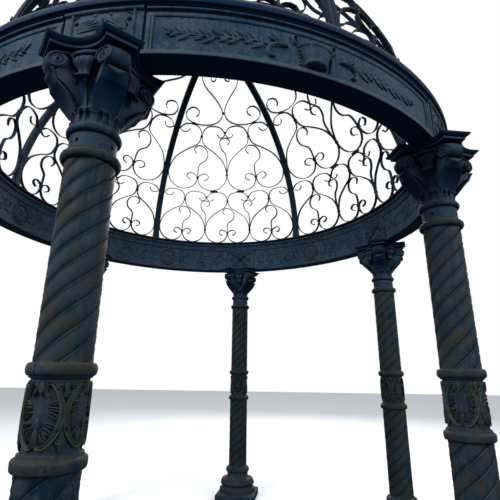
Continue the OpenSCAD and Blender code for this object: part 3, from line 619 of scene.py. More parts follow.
def abacusPlan(back):
    # Four hollow sides, each an arc of a large circle outside the slab, and four cut corners.
    # A corner line at 45 degrees meets the arc where their equations hold at once.
    c = capitalLook
    half = c["abacus"] / 2
    chord = half - c["abacusCut"] / math.sqrt(2)
    hollowRadius = (chord ** 2 + c["abacusHollow"] ** 2) / (2 * c["abacusHollow"])
    centre = half - c["abacusHollow"] + hollowRadius
    radius = hollowRadius + back
    line = math.sqrt(2) * (half * math.sqrt(2) - c["abacusCut"] / 2 - back)
    tip = math.pi / 4 + math.asin((line - centre) / (math.sqrt(2) * radius))
    a = np.linspace(-tip, tip, 17)
    side = np.stack([centre - radius * np.cos(a), radius * np.sin(a)], -1)
    quarter = lambda p, n: np.stack([p[:, 0] * (1, 0, -1, 0)[n] - p[:, 1] * (0, 1, 0, -1)[n],
                                     p[:, 0] * (0, 1, 0, -1)[n] + p[:, 1] * (1, 0, -1, 0)[n]], -1)
    return np.vstack([quarter(side, n) for n in range(4)])


def leafPlate(front, behind, angle, rustAndShade=0.05):
    # A closed plate from the points of its face, as radius, height and place across, and those of its back
    grid = np.concatenate([front, behind[:, ::-1]], 1)
    return surface(turned(np.stack([grid[..., 2], grid[..., 0], grid[..., 1]], -1), angle), rustAndShade)


def cornerLeaf(bellZ, angle):
    # A plain broad leaf: its middle line leans far out from the bell's foot and ends in a roll as wide as the
    # leaf, thick in the middle and thin toward its ends. Behind it the casting is solid up to the volute.
    steps = 32
    line = smoothCurve([(0.100, -0.009), (0.108, 0.006), (0.122, 0.028), (0.142, 0.052), (0.166, 0.074),
                        (0.188, 0.088), (0.206, 0.094), (0.219, 0.0945), (0.2228, 0.0950),
                        (0.2262, 0.0995), (0.2275, 0.112), (0.2235, 0.125), (0.216, 0.134),
                        (0.206, 0.140), (0.196, 0.139)], steps)
    t = np.linspace(-1, 1, 19)
    half = spread([0.048, 0.054, 0.060, 0.063, 0.063, 0.061, 0.057, 0.054, 0.053, 0.053, 0.052, 0.050],
                  steps)[:, None]
    along = np.gradient(line, axis=0)
    along /= np.linalg.norm(along, axis=1)[:, None]
    face = np.stack([along[:, 1], -along[:, 0]], -1)
    rim = 0.0030 * np.exp(-((np.abs(t) - 0.95) / 0.05) ** 2)
    cup = spread([0.002, 0.006, 0.009, 0.010, 0.009, 0.006, 0.002, 0, 0, 0, 0, 0], steps)[:, None]
    lift = cup * (t ** 2 - 0.35) + rim
    # The roll's lower side rises, most of all toward the roll's ends
    low = np.clip((line[:, 0] - 0.190) / 0.030, 0, 1) * np.clip((0.136 - line[:, 1]) / 0.036, 0, 1)
    rise = low[:, None] * (0.013 + 0.032 * np.abs(t) ** 1.6)
    level = line[:, None, :] + np.stack([-0.25 * rise, rise + bellZ], -1)
    front = level + face[:, None, :] * lift[..., None]
    behind = level + face[:, None, :] * (lift - 0.008)[..., None]
    across = (half * t)[..., None]
    # The leaf's face is painted dark as shade and its back a little less; the roll at its end is painted pale
    # as light
    roll = np.clip((line[:, 0] - 0.2235) / 0.0015, 0, 1)[:, None]
    marks = np.concatenate([-0.62 + 2.08 * roll + 0 * t, -0.3 + 0 * roll * t], 1)
    plate = leafPlate(np.concatenate([front, across], -1),
                      np.concatenate([behind, across * 0.985], -1), angle, marks)
    core = np.array([(0.092, -0.003), (0.099, 0.012), (0.115, 0.035), (0.136, 0.058), (0.160, 0.080),
                     (0.184, 0.096), (0.200, 0.105), (0.206, 0.125), (0.206, 0.142), (0.200, 0.160),
                     (0.190, 0.185), (0.186, 0.215), (0.190, 0.248)])
    wide = np.array([0.036, 0.044, 0.050, 0.054, 0.056, 0.055, 0.053, 0.052, 0.052, 0.050, 0.044, 0.040,
                     0.040])[:, None]
    t = np.linspace(-1, 1, 9)
    out = core[:, :1] - 0.014 * t ** 2
    height = core[:, 1:] + bellZ + 0 * t
    # The body is painted a little dark as shade
    body = leafPlate(np.stack([out, height, wide * t], -1),
                     np.stack([0.078 + 0 * out, height, wide * t], -1), angle, -0.25)
    return [plate, body]


def smallLeaf(bellZ, angle, shift):
    # A round-headed hollow tongue with a thin rim, which leans out from the bell between two corner leaves.
    # Its half width is constant up to its head, where it follows a circle.
    wide, head = 0.0245, 0.127
    rounding = head - wide + wide * np.sin(np.radians([18, 36, 52, 66, 78, 88]))
    y = np.append(np.linspace(-0.004, head - wide, 6), rounding)
    half = wide * np.sqrt(np.clip(1 - np.clip((y - head + wide) / wide, 0, 1) ** 2, 0.002, 1))[:, None]
    t = np.array([-1, -0.93, -0.84, -0.7, -0.35, 0, 0.35, 0.7, 0.84, 0.93, 1])
    lean = (bellRadius(np.clip(y / capitalLook["bellHeight"], 0, 1))
            + 0.004 + 0.022 * np.clip(y / head, 0, 1) ** 1.6)[:, None]
    closing = np.clip((head - y) / 0.006, 0, 1)[:, None]
    hollow = np.clip((0.82 - np.abs(t)) / 0.12, 0, 1) * 0.0075 * closing
    across = shift + half * t
    level = (y + bellZ)[:, None] + 0 * t
    front = np.stack([lean - hollow, level, across], -1)
    behind = np.stack([lean - 0.010 + 0 * t, level, across], -1)
    # The tongue's rim is painted pale as light, its hollow dark as shade, and its back dark as shade
    marks = np.concatenate([1.35 - 270 * hollow, -0.5 + 0 * hollow], 1)
    return leafPlate(front, behind, angle, marks)


def cornerVolute(bellZ, angle):
    # A wide band with rims: it leaves the bell under the abacus, turns over at the corner and winds in.
    # The spiral's radius shrinks evenly with its angle.
    c = capitalLook
    eye = np.array([c["voluteReach"] - c["voluteRadius"],
                    c["bellHeight"] - c["voluteDrop"] - c["voluteRadius"]])
    rows = 36
    turn = np.radians(np.linspace(100, -400, rows))
    radius = np.interp(np.linspace(0, 1, rows), [0, 0.16, 1], [c["voluteRadius"], c["voluteRadius"], 0.018])
    spiral = eye + radius[:, None] * np.stack([np.cos(turn), np.sin(turn)], -1)
    lead = smoothCurve([(0.132, 0.192), (0.146, 0.220), (0.166, 0.233), tuple(spiral[0])], 8)[:-1]
    line = np.vstack([lead, spiral])
    along = np.gradient(line, axis=0)
    along /= np.linalg.norm(along, axis=1)[:, None]
    outward = np.stack([-along[:, 1], along[:, 0]], -1)
    t = np.array([-1, -0.97, -0.90, -0.86, -0.5, 0, 0.5, 0.86, 0.90, 0.97, 1])
    rims = np.array([-0.001, 0.0016, 0.0016, 0, 0, 0, 0, 0, 0.0016, 0.0016, -0.001])
    up = c["voluteBulge"] * (1 - t ** 2) + rims
    half = spread([0.86, 0.95, 1, 1, 0.98, 0.96, 0.94, 0.92], len(line))[:, None]
    bulging = spread([0.2, 0.6, 1, 1, 0.8, 0.3, 0, 0, 0], len(line))[:, None, None]
    top = line[:, None, :] + outward[:, None, :] * (up[None, :, None] * bulging)
    low = line[:, None, :] - outward[:, None, :] * 0.006
    top = np.concatenate([top, (half * t)[..., None]], -1)
    low = np.concatenate([np.repeat(low, 2, 1), (half * np.array([0.97, -0.97]))[..., None]], -1)
    grid = np.concatenate([top, low], 1)
    # Its width at a distance from the axis: the two faces splay toward the bell, as the abacus over them does
    splay = lambda radius: 0.041 + 0.48 * np.clip(c["voluteReach"] - radius, 0, 0.09)
    # The band's face is a little rusty, most in its middle and on its rims, and its underside is painted dark
    # as shade
    marks = [-0.1, 0.1, 0.25, 0.05, 0.2, 0.35, 0.2, 0.05, 0.25, 0.1, -0.1, -0.8, -0.8]
    out, height, across = grid[..., 0], grid[..., 1], grid[..., 2]
    band = turned(np.stack([across * splay(out), out, height + bellZ], -1), angle)
    wind = surface(band, np.tile(marks, (len(line), 1)))
    # A drum closes the winding, and a hollow eye with a rim stands out at both ends of it
    sides = 24
    a = np.arange(sides) * 2 * np.pi / sides
    ends = np.array([(0.80, 0.0008), (0.82, 0.0050), (0.93, 0.0070), (0.96, 0.0100), (0.94, 0.0135),
                     (0.88, 0.0180), (0.84, 0.0380)])
    # The eye is painted dark as shade, its rim not, and the drum round it a little dark as shade
    dark = np.array([-1, -1, -0.3, 0.1, 0.0, -0.2, -0.2])
    profile = np.vstack([ends, ends[::-1] * (-1, 1)])
    radius = eye[0] + profile[:, 1:] * np.cos(a)
    drum = np.stack([profile[:, :1] * splay(radius), radius, bellZ + eye[1] + profile[:, 1:] * np.sin(a)], -1)
    return [wind, surface(turned(drum, angle), np.append(dark, dark[::-1])[:, None])]


def sideFlower(bellZ, angle):
    # A folded petal that hangs from the abacus: it narrows, then flares to a lobed lip. Its rows give the
    # depth under the abacus, the half width and the radius at the middle.
    c = capitalLook

    def bend(x, y, high):
        r = bellRadius(np.clip(y / c["bellHeight"], 0, 1)) + high
        return np.stack([r * np.sin(x / r), r * np.cos(x / r), bellZ + y + 0 * high], -1)

    top = bellZ + c["bellHeight"]
    rows = np.array([(0.036, 0.020, 0.150), (0.038, 0.034, 0.160), (0.046, 0.039, 0.167),
                     (0.058, 0.040, 0.170), (0.072, 0.037, 0.168), (0.086, 0.030, 0.161),
                     (0.098, 0.023, 0.155), (0.108, 0.021, 0.154), (0.118, 0.024, 0.159),
                     (0.126, 0.028, 0.166), (0.133, 0.031, 0.172), (0.1365, 0.0325, 0.1745),
                     (0.139, 0.032, 0.172), (0.138, 0.029, 0.162)])
    rows = smoothCurve(rows, 22)
    down, half, radius = (rows[:, n][:, None] for n in range(3))
    t = np.linspace(-1, 1, 31)
    fold = np.abs(np.cos(1.5 * np.pi * t)) ** 0.6
    half = half * 1.12
    flare = np.clip((down - 0.110) / 0.022, 0, 1)
    cleft = np.exp(-(t / 0.16) ** 2) * np.clip((down - 0.062) / 0.02, 0, 1)
    out = radius - 0.010 * t ** 2 + 0.0030 * (fold - 0.5) - 0.006 * cleft * (1 - 0.7 * flare)
    z = top - down - 0.005 * flare * (1 - np.abs(t)) ** 0.7
    front = np.stack([out, z, half * t], -1)
    behind = np.stack([np.minimum(out - 0.010, radius - 0.020), z + 0.004 * flare, half * t * 0.96], -1)
    # The petal is rustier on its folds' ridges and at its lip, and painted dark as shade in the folds'
    # valleys, in its cleft and on its back
    marks = np.concatenate([0.45 * fold + 0.2 * flare - 0.15 - 0.7 * cleft, -0.8 + 0 * down * t], 1)
    parts = [leafPlate(front, behind, angle, marks)]
    # Two stalks on each side run down and inward from the volutes
    for side in (-1, 1):
        for root, hip, foot, wide in (((0.084, 0.192), (0.066, 0.160), (0.056, 0.100), 0.0065),
                                      ((0.058, 0.214), (0.048, 0.170), (0.036, 0.112), 0.0050)):
            waist = 0.25 * np.add(root, foot) + 0.5 * np.array(hip)
            stalk = scroll(np.array([root, waist, foot]) * (side, 1), [wide, wide, wide * 0.9, wide * 0.7],
                           [0.026, 0.018, 0.016, 0.020], bend, 11, "hollowLeaf", 0.5)
            parts.append(turnedPart(stalk, angle))
    return parts


def niches(throatZ, bellZ):
    # Round-headed niches in pairs round the throat, deepest at their heads and fading downward,
    # with a thin rim in waves just over the heads
    c = capitalLook
    sides, rows = 224, 22
    a = np.arange(sides)[None, :] * 2 * np.pi / sides
    z = np.linspace(0, 1, rows)[:, None] * (bellZ + 0.005 - throatZ)
    place = (a * c["nichePairs"] / (2 * np.pi) + 0.5) % 1 - 0.5
    off = (np.abs(place) - c["nicheOff"]) / c["nicheHalf"]
    dome = np.sqrt(np.clip(1 - off ** 2, 0, 1))
    head = c["throatHeight"] - 0.021 + 0.015 * dome
    inside = np.clip((1 - np.abs(off)) / 0.16, 0, 1) * np.clip((head - z) / 0.004, 0, 1)
    fade = np.clip(z / (c["throatHeight"] * 0.45), 0, 1) ** 0.7
    rim = np.exp(-((z - head - 0.0045) / 0.0035) ** 2)
    over = np.clip((z - head - 0.002) / 0.008, 0, 1)
    r = c["throat"] + 0.005 * (z / c["throatHeight"]) ** 2 + 0.0055 * rim + 0.004 * over
    r = r + 0.006 * np.exp(-z / 0.006) - c["nicheDepth"] * inside * fade
    # Inside the niches the paint is darkened as painted shade, most toward their heads; the rim over them is
    # a little rustier
    marks = 0.25 + 0.5 * rim - (0.55 + 0.7 * z / c["throatHeight"]) * inside * fade
    return surface(np.stack([r * np.cos(a), r * np.sin(a), z + throatZ + 0 * a], -1), marks)


def columnCapital():
    c = capitalLook
    neckTop = capitalFoot + c["neckHeight"]
    throatZ = neckTop + c["astragalHeight"]
    bellZ = throatZ + c["throatHeight"]
    abacusZ = bellZ + c["bellHeight"]

    share = np.linspace(0, 1, 16)
    bellRows = np.stack([bellRadius(share), bellZ + share * c["bellHeight"]], -1)
    strip, stripTop = c["abacusBack"] + 0.004, abacusZ + c["abacusLow"]
    a = c["astragal"]
    parts = [
        # The neck: rusty at its foot, painted dark as shade where it runs in under the astragal
        revolved([(c["neck"] - 0.012, capitalFoot), (c["neck"] + 0.006, capitalFoot + 0.0004),
                  (c["neck"] + 0.003, capitalFoot + 0.004), (c["neck"] + 0.001, capitalFoot + 0.010),
                  (c["neck"], capitalFoot + 0.018), (c["neck"], neckTop - 0.004),
                  (c["neck"] - 0.010, neckTop + 0.004)],
                 rustAndShade=[0.3, 0.4, 0.35, 0.2, 0.05, -0.05, -0.9]),
        # The astragal: a torus whose top runs in a fillet up to the throat; painted dark as shade underneath,
        # grading to rust over the top
        revolved([(0.084, neckTop), arc((a - 0.015, neckTop + 0.017), (0.015, 0.017), -90, 30, 11),
                  (a - 0.0045, neckTop + 0.0300), (a - 0.0085, neckTop + 0.0350),
                  (a - 0.0130, throatZ + 0.001), (0.084, throatZ + 0.003)],
                 rustAndShade=[-0.9, -0.8, -0.6, -0.45, -0.3, -0.15, 0, 0.05, 0.1, 0.15, 0.2, 0.25]
                 + [0.35, 0.35, 0.25, 0]),
        niches(throatZ, bellZ),
        # The bell: painted a little dark as shade low down and lighter on its upper rows as painted light;
        # under its lip and at the abacus it is painted dark as shade
        revolved([(0.080, bellZ), bellRows[:-2], (c["bellLip"], abacusZ - 0.027),
                  (c["bellLip"] + 0.007, abacusZ - 0.0255),
                  (c["bellLip"] + 0.0095, abacusZ - 0.021), (c["bellLip"] + 0.0095, abacusZ - 0.015),
                  (c["bellLip"] + 0.006, abacusZ - 0.0105), (c["bellLip"] - 0.002, abacusZ - 0.009),
                  (c["bellLip"] - 0.002, abacusZ + 0.002), (0.100, abacusZ + 0.003)],
                 rustAndShade=[-0.3] + 8 * [-0.2] + 6 * [0.5] + [-0.5, 0.2, 0.3, 0.3, 0.2, -0.8, -1, -1]),
        # The abacus: a low strip, a hollow moulding and an upright face, painted dark as shade on the strip's
        # edges and the moulding, and darkest, nearly black, on the face
        planned(abacusPlan, [
            (strip + 0.002, abacusZ), (strip, abacusZ + 0.002), (strip, stripTop - 0.002),
            (strip + 0.002, stripTop), (strip + 0.002, stripTop + 0.001), (0.0085, stripTop + 0.005),
            (0.0035, stripTop + 0.011), (0.001, stripTop + 0.015), (0, stripTop + 0.017),
            (0, beamFoot - 0.0035), (0.0015, beamFoot - 0.0010), (0.0030, beamFoot - 0.0004)],
                np.array([-0.9, 0.2, 0.2, -0.9, -0.9, -1.0, -1.2, -1.42, -1.46, -1.42, 1.5, 1.5])[:, None]),
    ]
    # A screw hole, painted black as the shade inside it, with a thin rim under each side
    ringShare = np.array([1.55, 1.5, 1.15, 0.95, 0.85, 0.1])[:, None]
    ringLift = np.array([-0.002, 0.0006, 0.0014, 0.0010, 0.0004, 0.0004])[:, None]
    spin = np.arange(16) * np.pi / 8
    for n in range(4):
        corner = math.pi / 4 + n * math.pi / 2
        side = n * math.pi / 2
        parts += cornerLeaf(bellZ, corner)
        parts += cornerVolute(bellZ, corner)
        parts += sideFlower(bellZ, side)
        parts += [smallLeaf(bellZ, side, shift) for shift in (-0.0250, 0.0250)]
        wall = onRound(c["neck"], capitalFoot + 0.031, side + math.radians(c["holeTurn"]))
        reach = ringShare * c["holeRadius"]
        parts.append(surface(wall(reach * np.cos(spin), reach * np.sin(spin), ringLift + 0 * spin),
                             np.array([0.1, 0.1, 0.1, -2, -2, -2])[:, None]))
    return merged(parts)


# Ring beam: long castings over the bays and short blocks over the columns, with one moulded section
beamLook = {
    "outer": 2.0195, "inner": 1.8805,
    "height": beamTop - beamFoot,
    "friezeBack": 0.012, "blockOut": 0.008,
    "footBand": 0.025, "friezeFoot": 0.031, "friezeTop": 0.2125, "innerFriezeTop": 0.272,
    "lip": 0.020, "innerLip": 0.022,
    "blockAngle": 11.0, "joint": 0.013,
    "ornamentShift": 0.050,      # how far the urn stands clockwise of the bay's middle
}


def beamProfile(out, joint=False):
    # Radius and height over the beam's foot, outside from the foot up and inside from the top down
    b = beamLook
    o, i = b["outer"], b["inner"]
    face, back = o - b["friezeBack"] + out, i + b["friezeBack"] - out
    if joint:
        mouldings = [(face - 0.003, b["friezeTop"] + 0.001), (face - 0.003, 0.2640), (o - 0.001, 0.2660)]
    elif out > 0:
        # Over a column the frieze runs up to one thick bead
        mouldings = [(face, 0.2465), (o + 0.001, 0.2485), (o + 0.0060, 0.2510), (o + 0.0080, 0.2550),
                     (o + 0.0085, 0.2600), (o + 0.0070, 0.2650), (o + 0.001, 0.2690)]
    else:
        mouldings = np.vstack([
            [(face, b["friezeTop"] + 0.0025), (o - 0.0085, b["friezeTop"] + 0.0035),
             (o - 0.0062, b["friezeTop"] + 0.0060), (o - 0.0050, b["friezeTop"] + 0.0120),
             (o - 0.0058, b["friezeTop"] + 0.0210), (o - 0.0078, b["friezeTop"] + 0.0250),
             (o - 0.0110, b["friezeTop"] + 0.0255)],
            [(o - 0.010, 0.2405), (o - 0.010, 0.2515), (o + 0.001, 0.2525), (o + 0.0030, 0.2545),
             (o + 0.0030, 0.2615), (o + 0.001, 0.2640), (o - 0.003, 0.2650), (o - 0.003, 0.2670)]])
    return np.vstack([
        [(i + 0.003, 0), (o - 0.003, 0), (o, 0.003), (o, b["footBand"] - 0.003), (o - 0.002, b["footBand"])],
        [(face - 0.003 * joint, b["friezeFoot"] - 0.003), (face - 0.003 * joint, b["friezeFoot"]),
         (face - 0.003 * joint, b["friezeTop"])], mouldings,
        arc((o + 0.016, 0.268), (0.014, 0.010), 172, 95, 6), [(o + 0.0185, 0.2790)],
        [(o + b["lip"], 0.281), (o + b["lip"], 0.304), (o + b["lip"], 0.309), (o + b["lip"], 0.314),
         (o + 0.018, 0.3185), (o + 0.012, 0.323)],
        [(o - 0.006, 0.346), (o - 0.022, b["height"] - 0.002), (o - 0.026, b["height"])],
        [(i - 0.002, b["height"]), (i - 0.012, b["height"] - 0.006), (i - b["innerLip"] + 0.001, 0.3605)],
        [(i - b["innerLip"], 0.357), (i - b["innerLip"], 0.339), (i - 0.020, 0.3360), (i - 0.013, 0.3350)],
        arc((i - 0.014, 0.312), (0.012, 0.020), 88, 4, 7), [(i - 0.001, 0.311), (i - 0.001, 0.304)],
        [(i + 0.003, 0.302), (i + 0.003, 0.297)], arc((i + 0.005, 0.2865), (0.008, 0.008), 110, 250, 7),
        [(back - 0.001, b["innerFriezeTop"] + 0.001), (back, b["innerFriezeTop"] - 0.002)],
        [(back, b["friezeFoot"]), (back - 0.002, b["friezeFoot"] - 0.003), (i + 0.002, b["footBand"])],
        [(i, b["footBand"] - 0.003), (i, 0.003)],
    ])


def beamSweep(start, end, out, steps, joint=False):
    # The section carried clockwise round the ring between two angles
    profile = beamProfile(out, joint)
    angle = np.linspace(start, end, steps + 1)[:, None]
    r, z = profile[None, :, 0], profile[None, :, 1] + 0 * angle
    # Outside, the foot band and the cornice's edge carry pale growth, and the hollows between the mouldings,
    # the lip's face and the underside are painted dark as shade; inside, the mouldings are a little rusty
    radius, high = profile.T
    b = beamLook
    inside = radius < b["inner"] + 0.03
    outside = ~inside
    footBand = outside & (high < b["footBand"] - 0.001) & (high > 0.001)
    overFrieze = outside & (high > b["friezeTop"] + 0.0253) & (high < 0.252) & (radius < b["outer"] - 0.0095)
    underLip = outside & (high > 0.2645) & (high < 0.2795)
    lipFace = outside & (high > 0.280) & (high < 0.306)
    corniceEdge = outside & (high > 0.306)
    marks = np.select([footBand, overFrieze, underLip, lipFace, corniceEdge, high < 0.001],
                      [1.5, -0.9, -1.0, -0.9, 1.65, -0.8], np.where(inside & (high > 0.30), 0.25, 0.02))
    # In a joint the cut-back end is painted a little dark as shade
    if joint:
        wall = np.abs(radius - ring["columnCircle"]) < 0.065
        marks = np.where(wall & (high > b["footBand"]) & (high < 0.281), -0.25, marks)
    marks = marks[None, :] + 0 * angle
    return surface(np.stack([r * np.sin(angle), r * np.cos(angle), beamFoot + z], -1), marks)


def laurelSpray(start, bend, direction, reach):
    # A stem that rises and falls in slow waves. At each node one plump leaf hangs down, long and short in
    # turn, and two slim ones stand up close together with a berry beside them.
    nodes = 8
    x0, y0 = start
    stem = lambda s: (x0 + direction * reach * s, y0 + 0.007 * math.sin(2.6 * math.pi * s) - 0.004 * s)
    path = np.array([stem(s) for s in np.linspace(0, 0.97, 40)])
    parts = [relief(path, [0.0062, 0.0054, 0.0048, 0.003], [0.008, 0.007, 0.007, 0.005], "leaf", bend)]
    heading = 0 if direction > 0 else 180
    for n in range(nodes):
        s = (n + 0.3) / nodes
        size = 1 - 0.22 * s
        x, y = stem(s)
        for step, way, length, half, lift, curl in (
                (0.000, -38, 0.054 if n % 2 else 0.080, 0.0104, 0.0085, 8),
                (0.002, 38, 0.056, 0.0074, 0.0065, -8), (0.028, 44, 0.070, 0.0078, 0.0070, -8)):
            parts.append(leaf((x + direction * step, y), heading + direction * way, length * size,
                              half * size, lift, bend, direction * curl, rustAndShade=0.1))
        parts.append(berry((x + direction * 0.034, y - 0.010 * size), 0.0075 * size, 0.008, bend, 0.1))
    tip = stem(0.98)
    parts.append(berry(tip, 0.0085, 0.015, bend, 0.1))
    parts.append(leaf(tip, heading - direction * 34, 0.024, 0.007, 0.012, bend))
    return parts


def urn(centre, bend):
    # Half of a basin: rings on the sheet, each as wide and as far out as its height asks,
    # with gadroons between the ridge and the rim
    profile = np.array([  # height, half width, how far it stands out
        (0.040, 0.020, 0.012), (0.043, 0.046, 0.034), (0.046, 0.058, 0.046), (0.051, 0.062, 0.050),
        (0.057, 0.062, 0.050), (0.061, 0.058, 0.046), (0.068, 0.058, 0.044), (0.085, 0.064, 0.046),
        (0.105, 0.073, 0.047), (0.122, 0.081, 0.048), (0.132, 0.086, 0.048), (0.136, 0.092, 0.050),
        (0.140, 0.097, 0.053), (0.147, 0.098, 0.054), (0.152, 0.096, 0.052), (0.154, 0.090, 0.047),
        (0.152, 0.060, 0.030), (0.150, 0.020, 0.010)])
    a = np.linspace(0, np.pi, 57)
    y, w, s = (profile[:, n][:, None] for n in range(3))
    ribbed = np.clip((y - 0.064) / 0.012, 0, 1) * np.clip((0.134 - y) / 0.010, 0, 1)
    swell = 1 + 0.055 * ribbed * (np.abs(np.sin(7 * a)) ** 0.6 - 0.6)
    beaded = np.exp(-((y - 0.054) / 0.005) ** 2) * 0.035 * np.cos(28 * a)
    x = w * np.cos(a) * (swell + beaded)
    high = s * np.sin(a) * (swell + beaded) - 0.003
    marks = np.where(ribbed > 0.5, 0.12, 0.3)
    parts = [surface(bend(centre + x, y + 0 * a, high), marks)]
    for side in (-1, 1):
        handle = [(centre + side * x, y) for x, y in ((0.094, 0.150), (0.112, 0.166), (0.118, 0.190),
                                                      (0.104, 0.203), (0.092, 0.193), (0.097, 0.180))]
        parts.append(scroll(handle, [0.007, 0.007, 0.006, 0.004], [0.018, 0.018, 0.016, 0.012], bend, 20))
        for n in range(5):
            x0 = centre + side * (0.088 - 0.003 * n)
            parts.append(berry((x0, 0.124 - 0.019 * n), 0.0085 - 0.0007 * n, 0.013, bend))
    return parts


def beamOutside():
    # Two bands stand side by side at each end of the panel and meet the bead over it
    b = beamLook
    radius = b["outer"] - b["friezeBack"]
    bend = onRound(radius, beamFoot)
    half = radius * (bayTurn - math.radians(b["blockAngle"])) / 2 - b["joint"]
    parts = []
    for side in (-1, 1):
        for distance, wide, lift in ((0.010, 0.0095, 0.0105), (0.0265, 0.0070, 0.0060)):
            x = side * (half - distance)
            parts.append(relief(np.array([(x, b["footBand"]), (x, 0.12), (x, b["friezeTop"] + 0.004)]),
                                [wide], [lift], "band", bend))
    centre = b["ornamentShift"]
    parts += urn(centre, bend)
    for side in (-1, 1):
        x = lambda distance: centre + side * distance
        parts += laurelSpray((x(0.236), 0.122), bend, side, 0.455)
        # The stalk comes out beside the urn as a thick ribbon and hooks back under the spray
        hook = [(x(0.141), 0.127), (x(0.175), 0.128), (x(0.215), 0.120), (x(0.238), 0.098), (x(0.238), 0.072),
                (x(0.225), 0.056), (x(0.205), 0.060)]
        parts.append(scroll(hook, [0.006, 0.010, 0.011, 0.011, 0.010, 0.008, 0.005],
                            [0.014, 0.018, 0.018, 0.017, 0.014], bend, 30))
        for x0, way, length in ((0.178, 48, 0.066), (0.192, 30, 0.056)):
            parts.append(leaf((x(x0), 0.134), 90 - side * (90 - way), length, 0.0065, 0.014, bend, side * 6))
    return parts


def rosette(bend, centre, radius, sides=32):
    # Height by distance and angle: a boss, eight petals, and two rings round them
    share = np.array([0.03, 0.1, 0.16, 0.2, 0.24, 0.32, 0.42, 0.52, 0.60, 0.66, 0.70, 0.73, 0.76, 0.79, 0.82,
                      0.85, 0.89, 0.94, 0.98, 1.0, 1.0])[:, None]
    a = np.arange(sides) * 2 * np.pi / sides
    boss = 0.013 * np.sqrt(np.clip(1 - (share / 0.2) ** 2, 0, 1))
    petal = np.clip((share - 0.22) / 0.1, 0, 1) * np.clip((0.70 - share) / 0.10, 0, 1)
    petal = petal * (0.004 + 0.007 * np.abs(np.cos(4 * a)) ** 0.7)
    rings = 0.007 * np.exp(-((share - 0.76) / 0.03) ** 2) + 0.013 * np.exp(-((share - 0.92) / 0.055) ** 2)
    high = 0.002 + boss + petal + rings
    high = np.where(np.arange(len(share))[:, None] == len(share) - 1, -0.003, high)
    x, y = centre[0] + radius * share * np.sin(a), centre[1] + radius * share * np.cos(a)
    return surface(bend(x, y, high), 0.25)


def beamInside():
    # Low scrolls of leaves run from both sides of the rosette to the ends of the casting
    b = beamLook
    radius = b["inner"] + b["friezeBack"]
    bend = onRound(radius, beamFoot, outward=-1)
    parts = [rosette(bend, (0, 0.152), 0.108, 64)]
    for side in (-1, 1):
        x0 = 0.122
        for n in range(5):
            flip = 1 if n % 2 == 0 else -1
            at = lambda x, y: (side * (x0 + 0.128 * n + x), 0.154 + flip * y)
            curl = [at(-0.020, -0.030), at(0.020, -0.046), at(0.072, -0.036), at(0.104, 0.000),
                    at(0.096, 0.038), at(0.062, 0.054), at(0.034, 0.036), at(0.040, 0.010), at(0.060, 0.012)]
            parts.append(scroll(curl, [0.004, 0.006, 0.006, 0.005, 0.003], [0.0065, 0.0065, 0.0055],
                                bend, 26))
            up = 90 * flip
            for x, y, way, length in ((0.030, -0.044, -50, 0.034), (0.082, -0.028, -20, 0.040),
                                      (0.104, 0.006, 20, 0.040), (0.084, 0.046, 70, 0.034),
                                      (0.046, 0.044, 140, 0.030)):
                heading = way * flip if side > 0 else 180 - way * flip
                parts.append(leaf(at(x, y), heading, length, 0.010, 0.0060, bend))
            parts.append(leaf(at(0.056, 0.014), up + 90, 0.020, 0.008, 0.006, bend))
    return parts


def longBeam():
    # Its two ends are cut back under the cornice, as an open joint to the blocks beside it
    b = beamLook
    half = (bayTurn - math.radians(b["blockAngle"])) / 2
    free = half - b["joint"] / b["outer"]
    parts = [beamSweep(-free, free, 0, 32)]
    for side in (-1, 1):
        parts.append(beamSweep(side * (free - 0.0002), side * (half - 0.0003), 0, 2, True))
    return merged(parts + beamOutside() + beamInside())


def blockLeaves(bend):
    # From two roots at the panel's sides, narrow leaves fan out toward its middle, above and below, with two
    # eyes painted black as deep shade and a small bar at the outside of each fan
    parts = []
    middle = 0.139
    for side in (-1, 1):
        inward = 180 if side > 0 else 0
        for up in (-1, 1):
            at = lambda x, y: (side * x, middle + up * y)
            for way, length, half in ((12, 0.112, 0.0050), (23, 0.116, 0.0052), (34, 0.112, 0.0052),
                                      (46, 0.104, 0.0052), (59, 0.090, 0.0050), (73, 0.072, 0.0046)):
                # The leaves are painted pale, as light on their ribs
                parts.append(leaf(at(0.119, 0.006), inward - side * up * way, length, half, 0.0060, bend,
                                  side * up * 8, "leaf", 1.2))
            for x, y in ((0.128, 0.061), (0.114, 0.027)):
                # Discs painted black as the deep shade of the eyes
                parts.append(berry(at(x, y), 0.0130, 0.0020, bend, -1.9))
            bar = [at(0.117, 0.101), at(0.130, 0.096), at(0.144, 0.086)]
            parts.append(scroll(bar, [0.0035], [0.006], bend, 8, rustAndShade=0.5))
        parts.append(berry((side * 0.038, 0.236), 0.011, 0.006, bend, 0.3))
    for way, length in ((90, 0.080), (70, 0.072), (110, 0.072), (270, 0.090), (250, 0.080), (290, 0.080)):
        parts.append(leaf((0, middle), way, length, 0.0085, 0.006, bend, 0, "fold", 0.4))
    parts.append(rosette(bend, (0, middle), 0.020))
    return parts


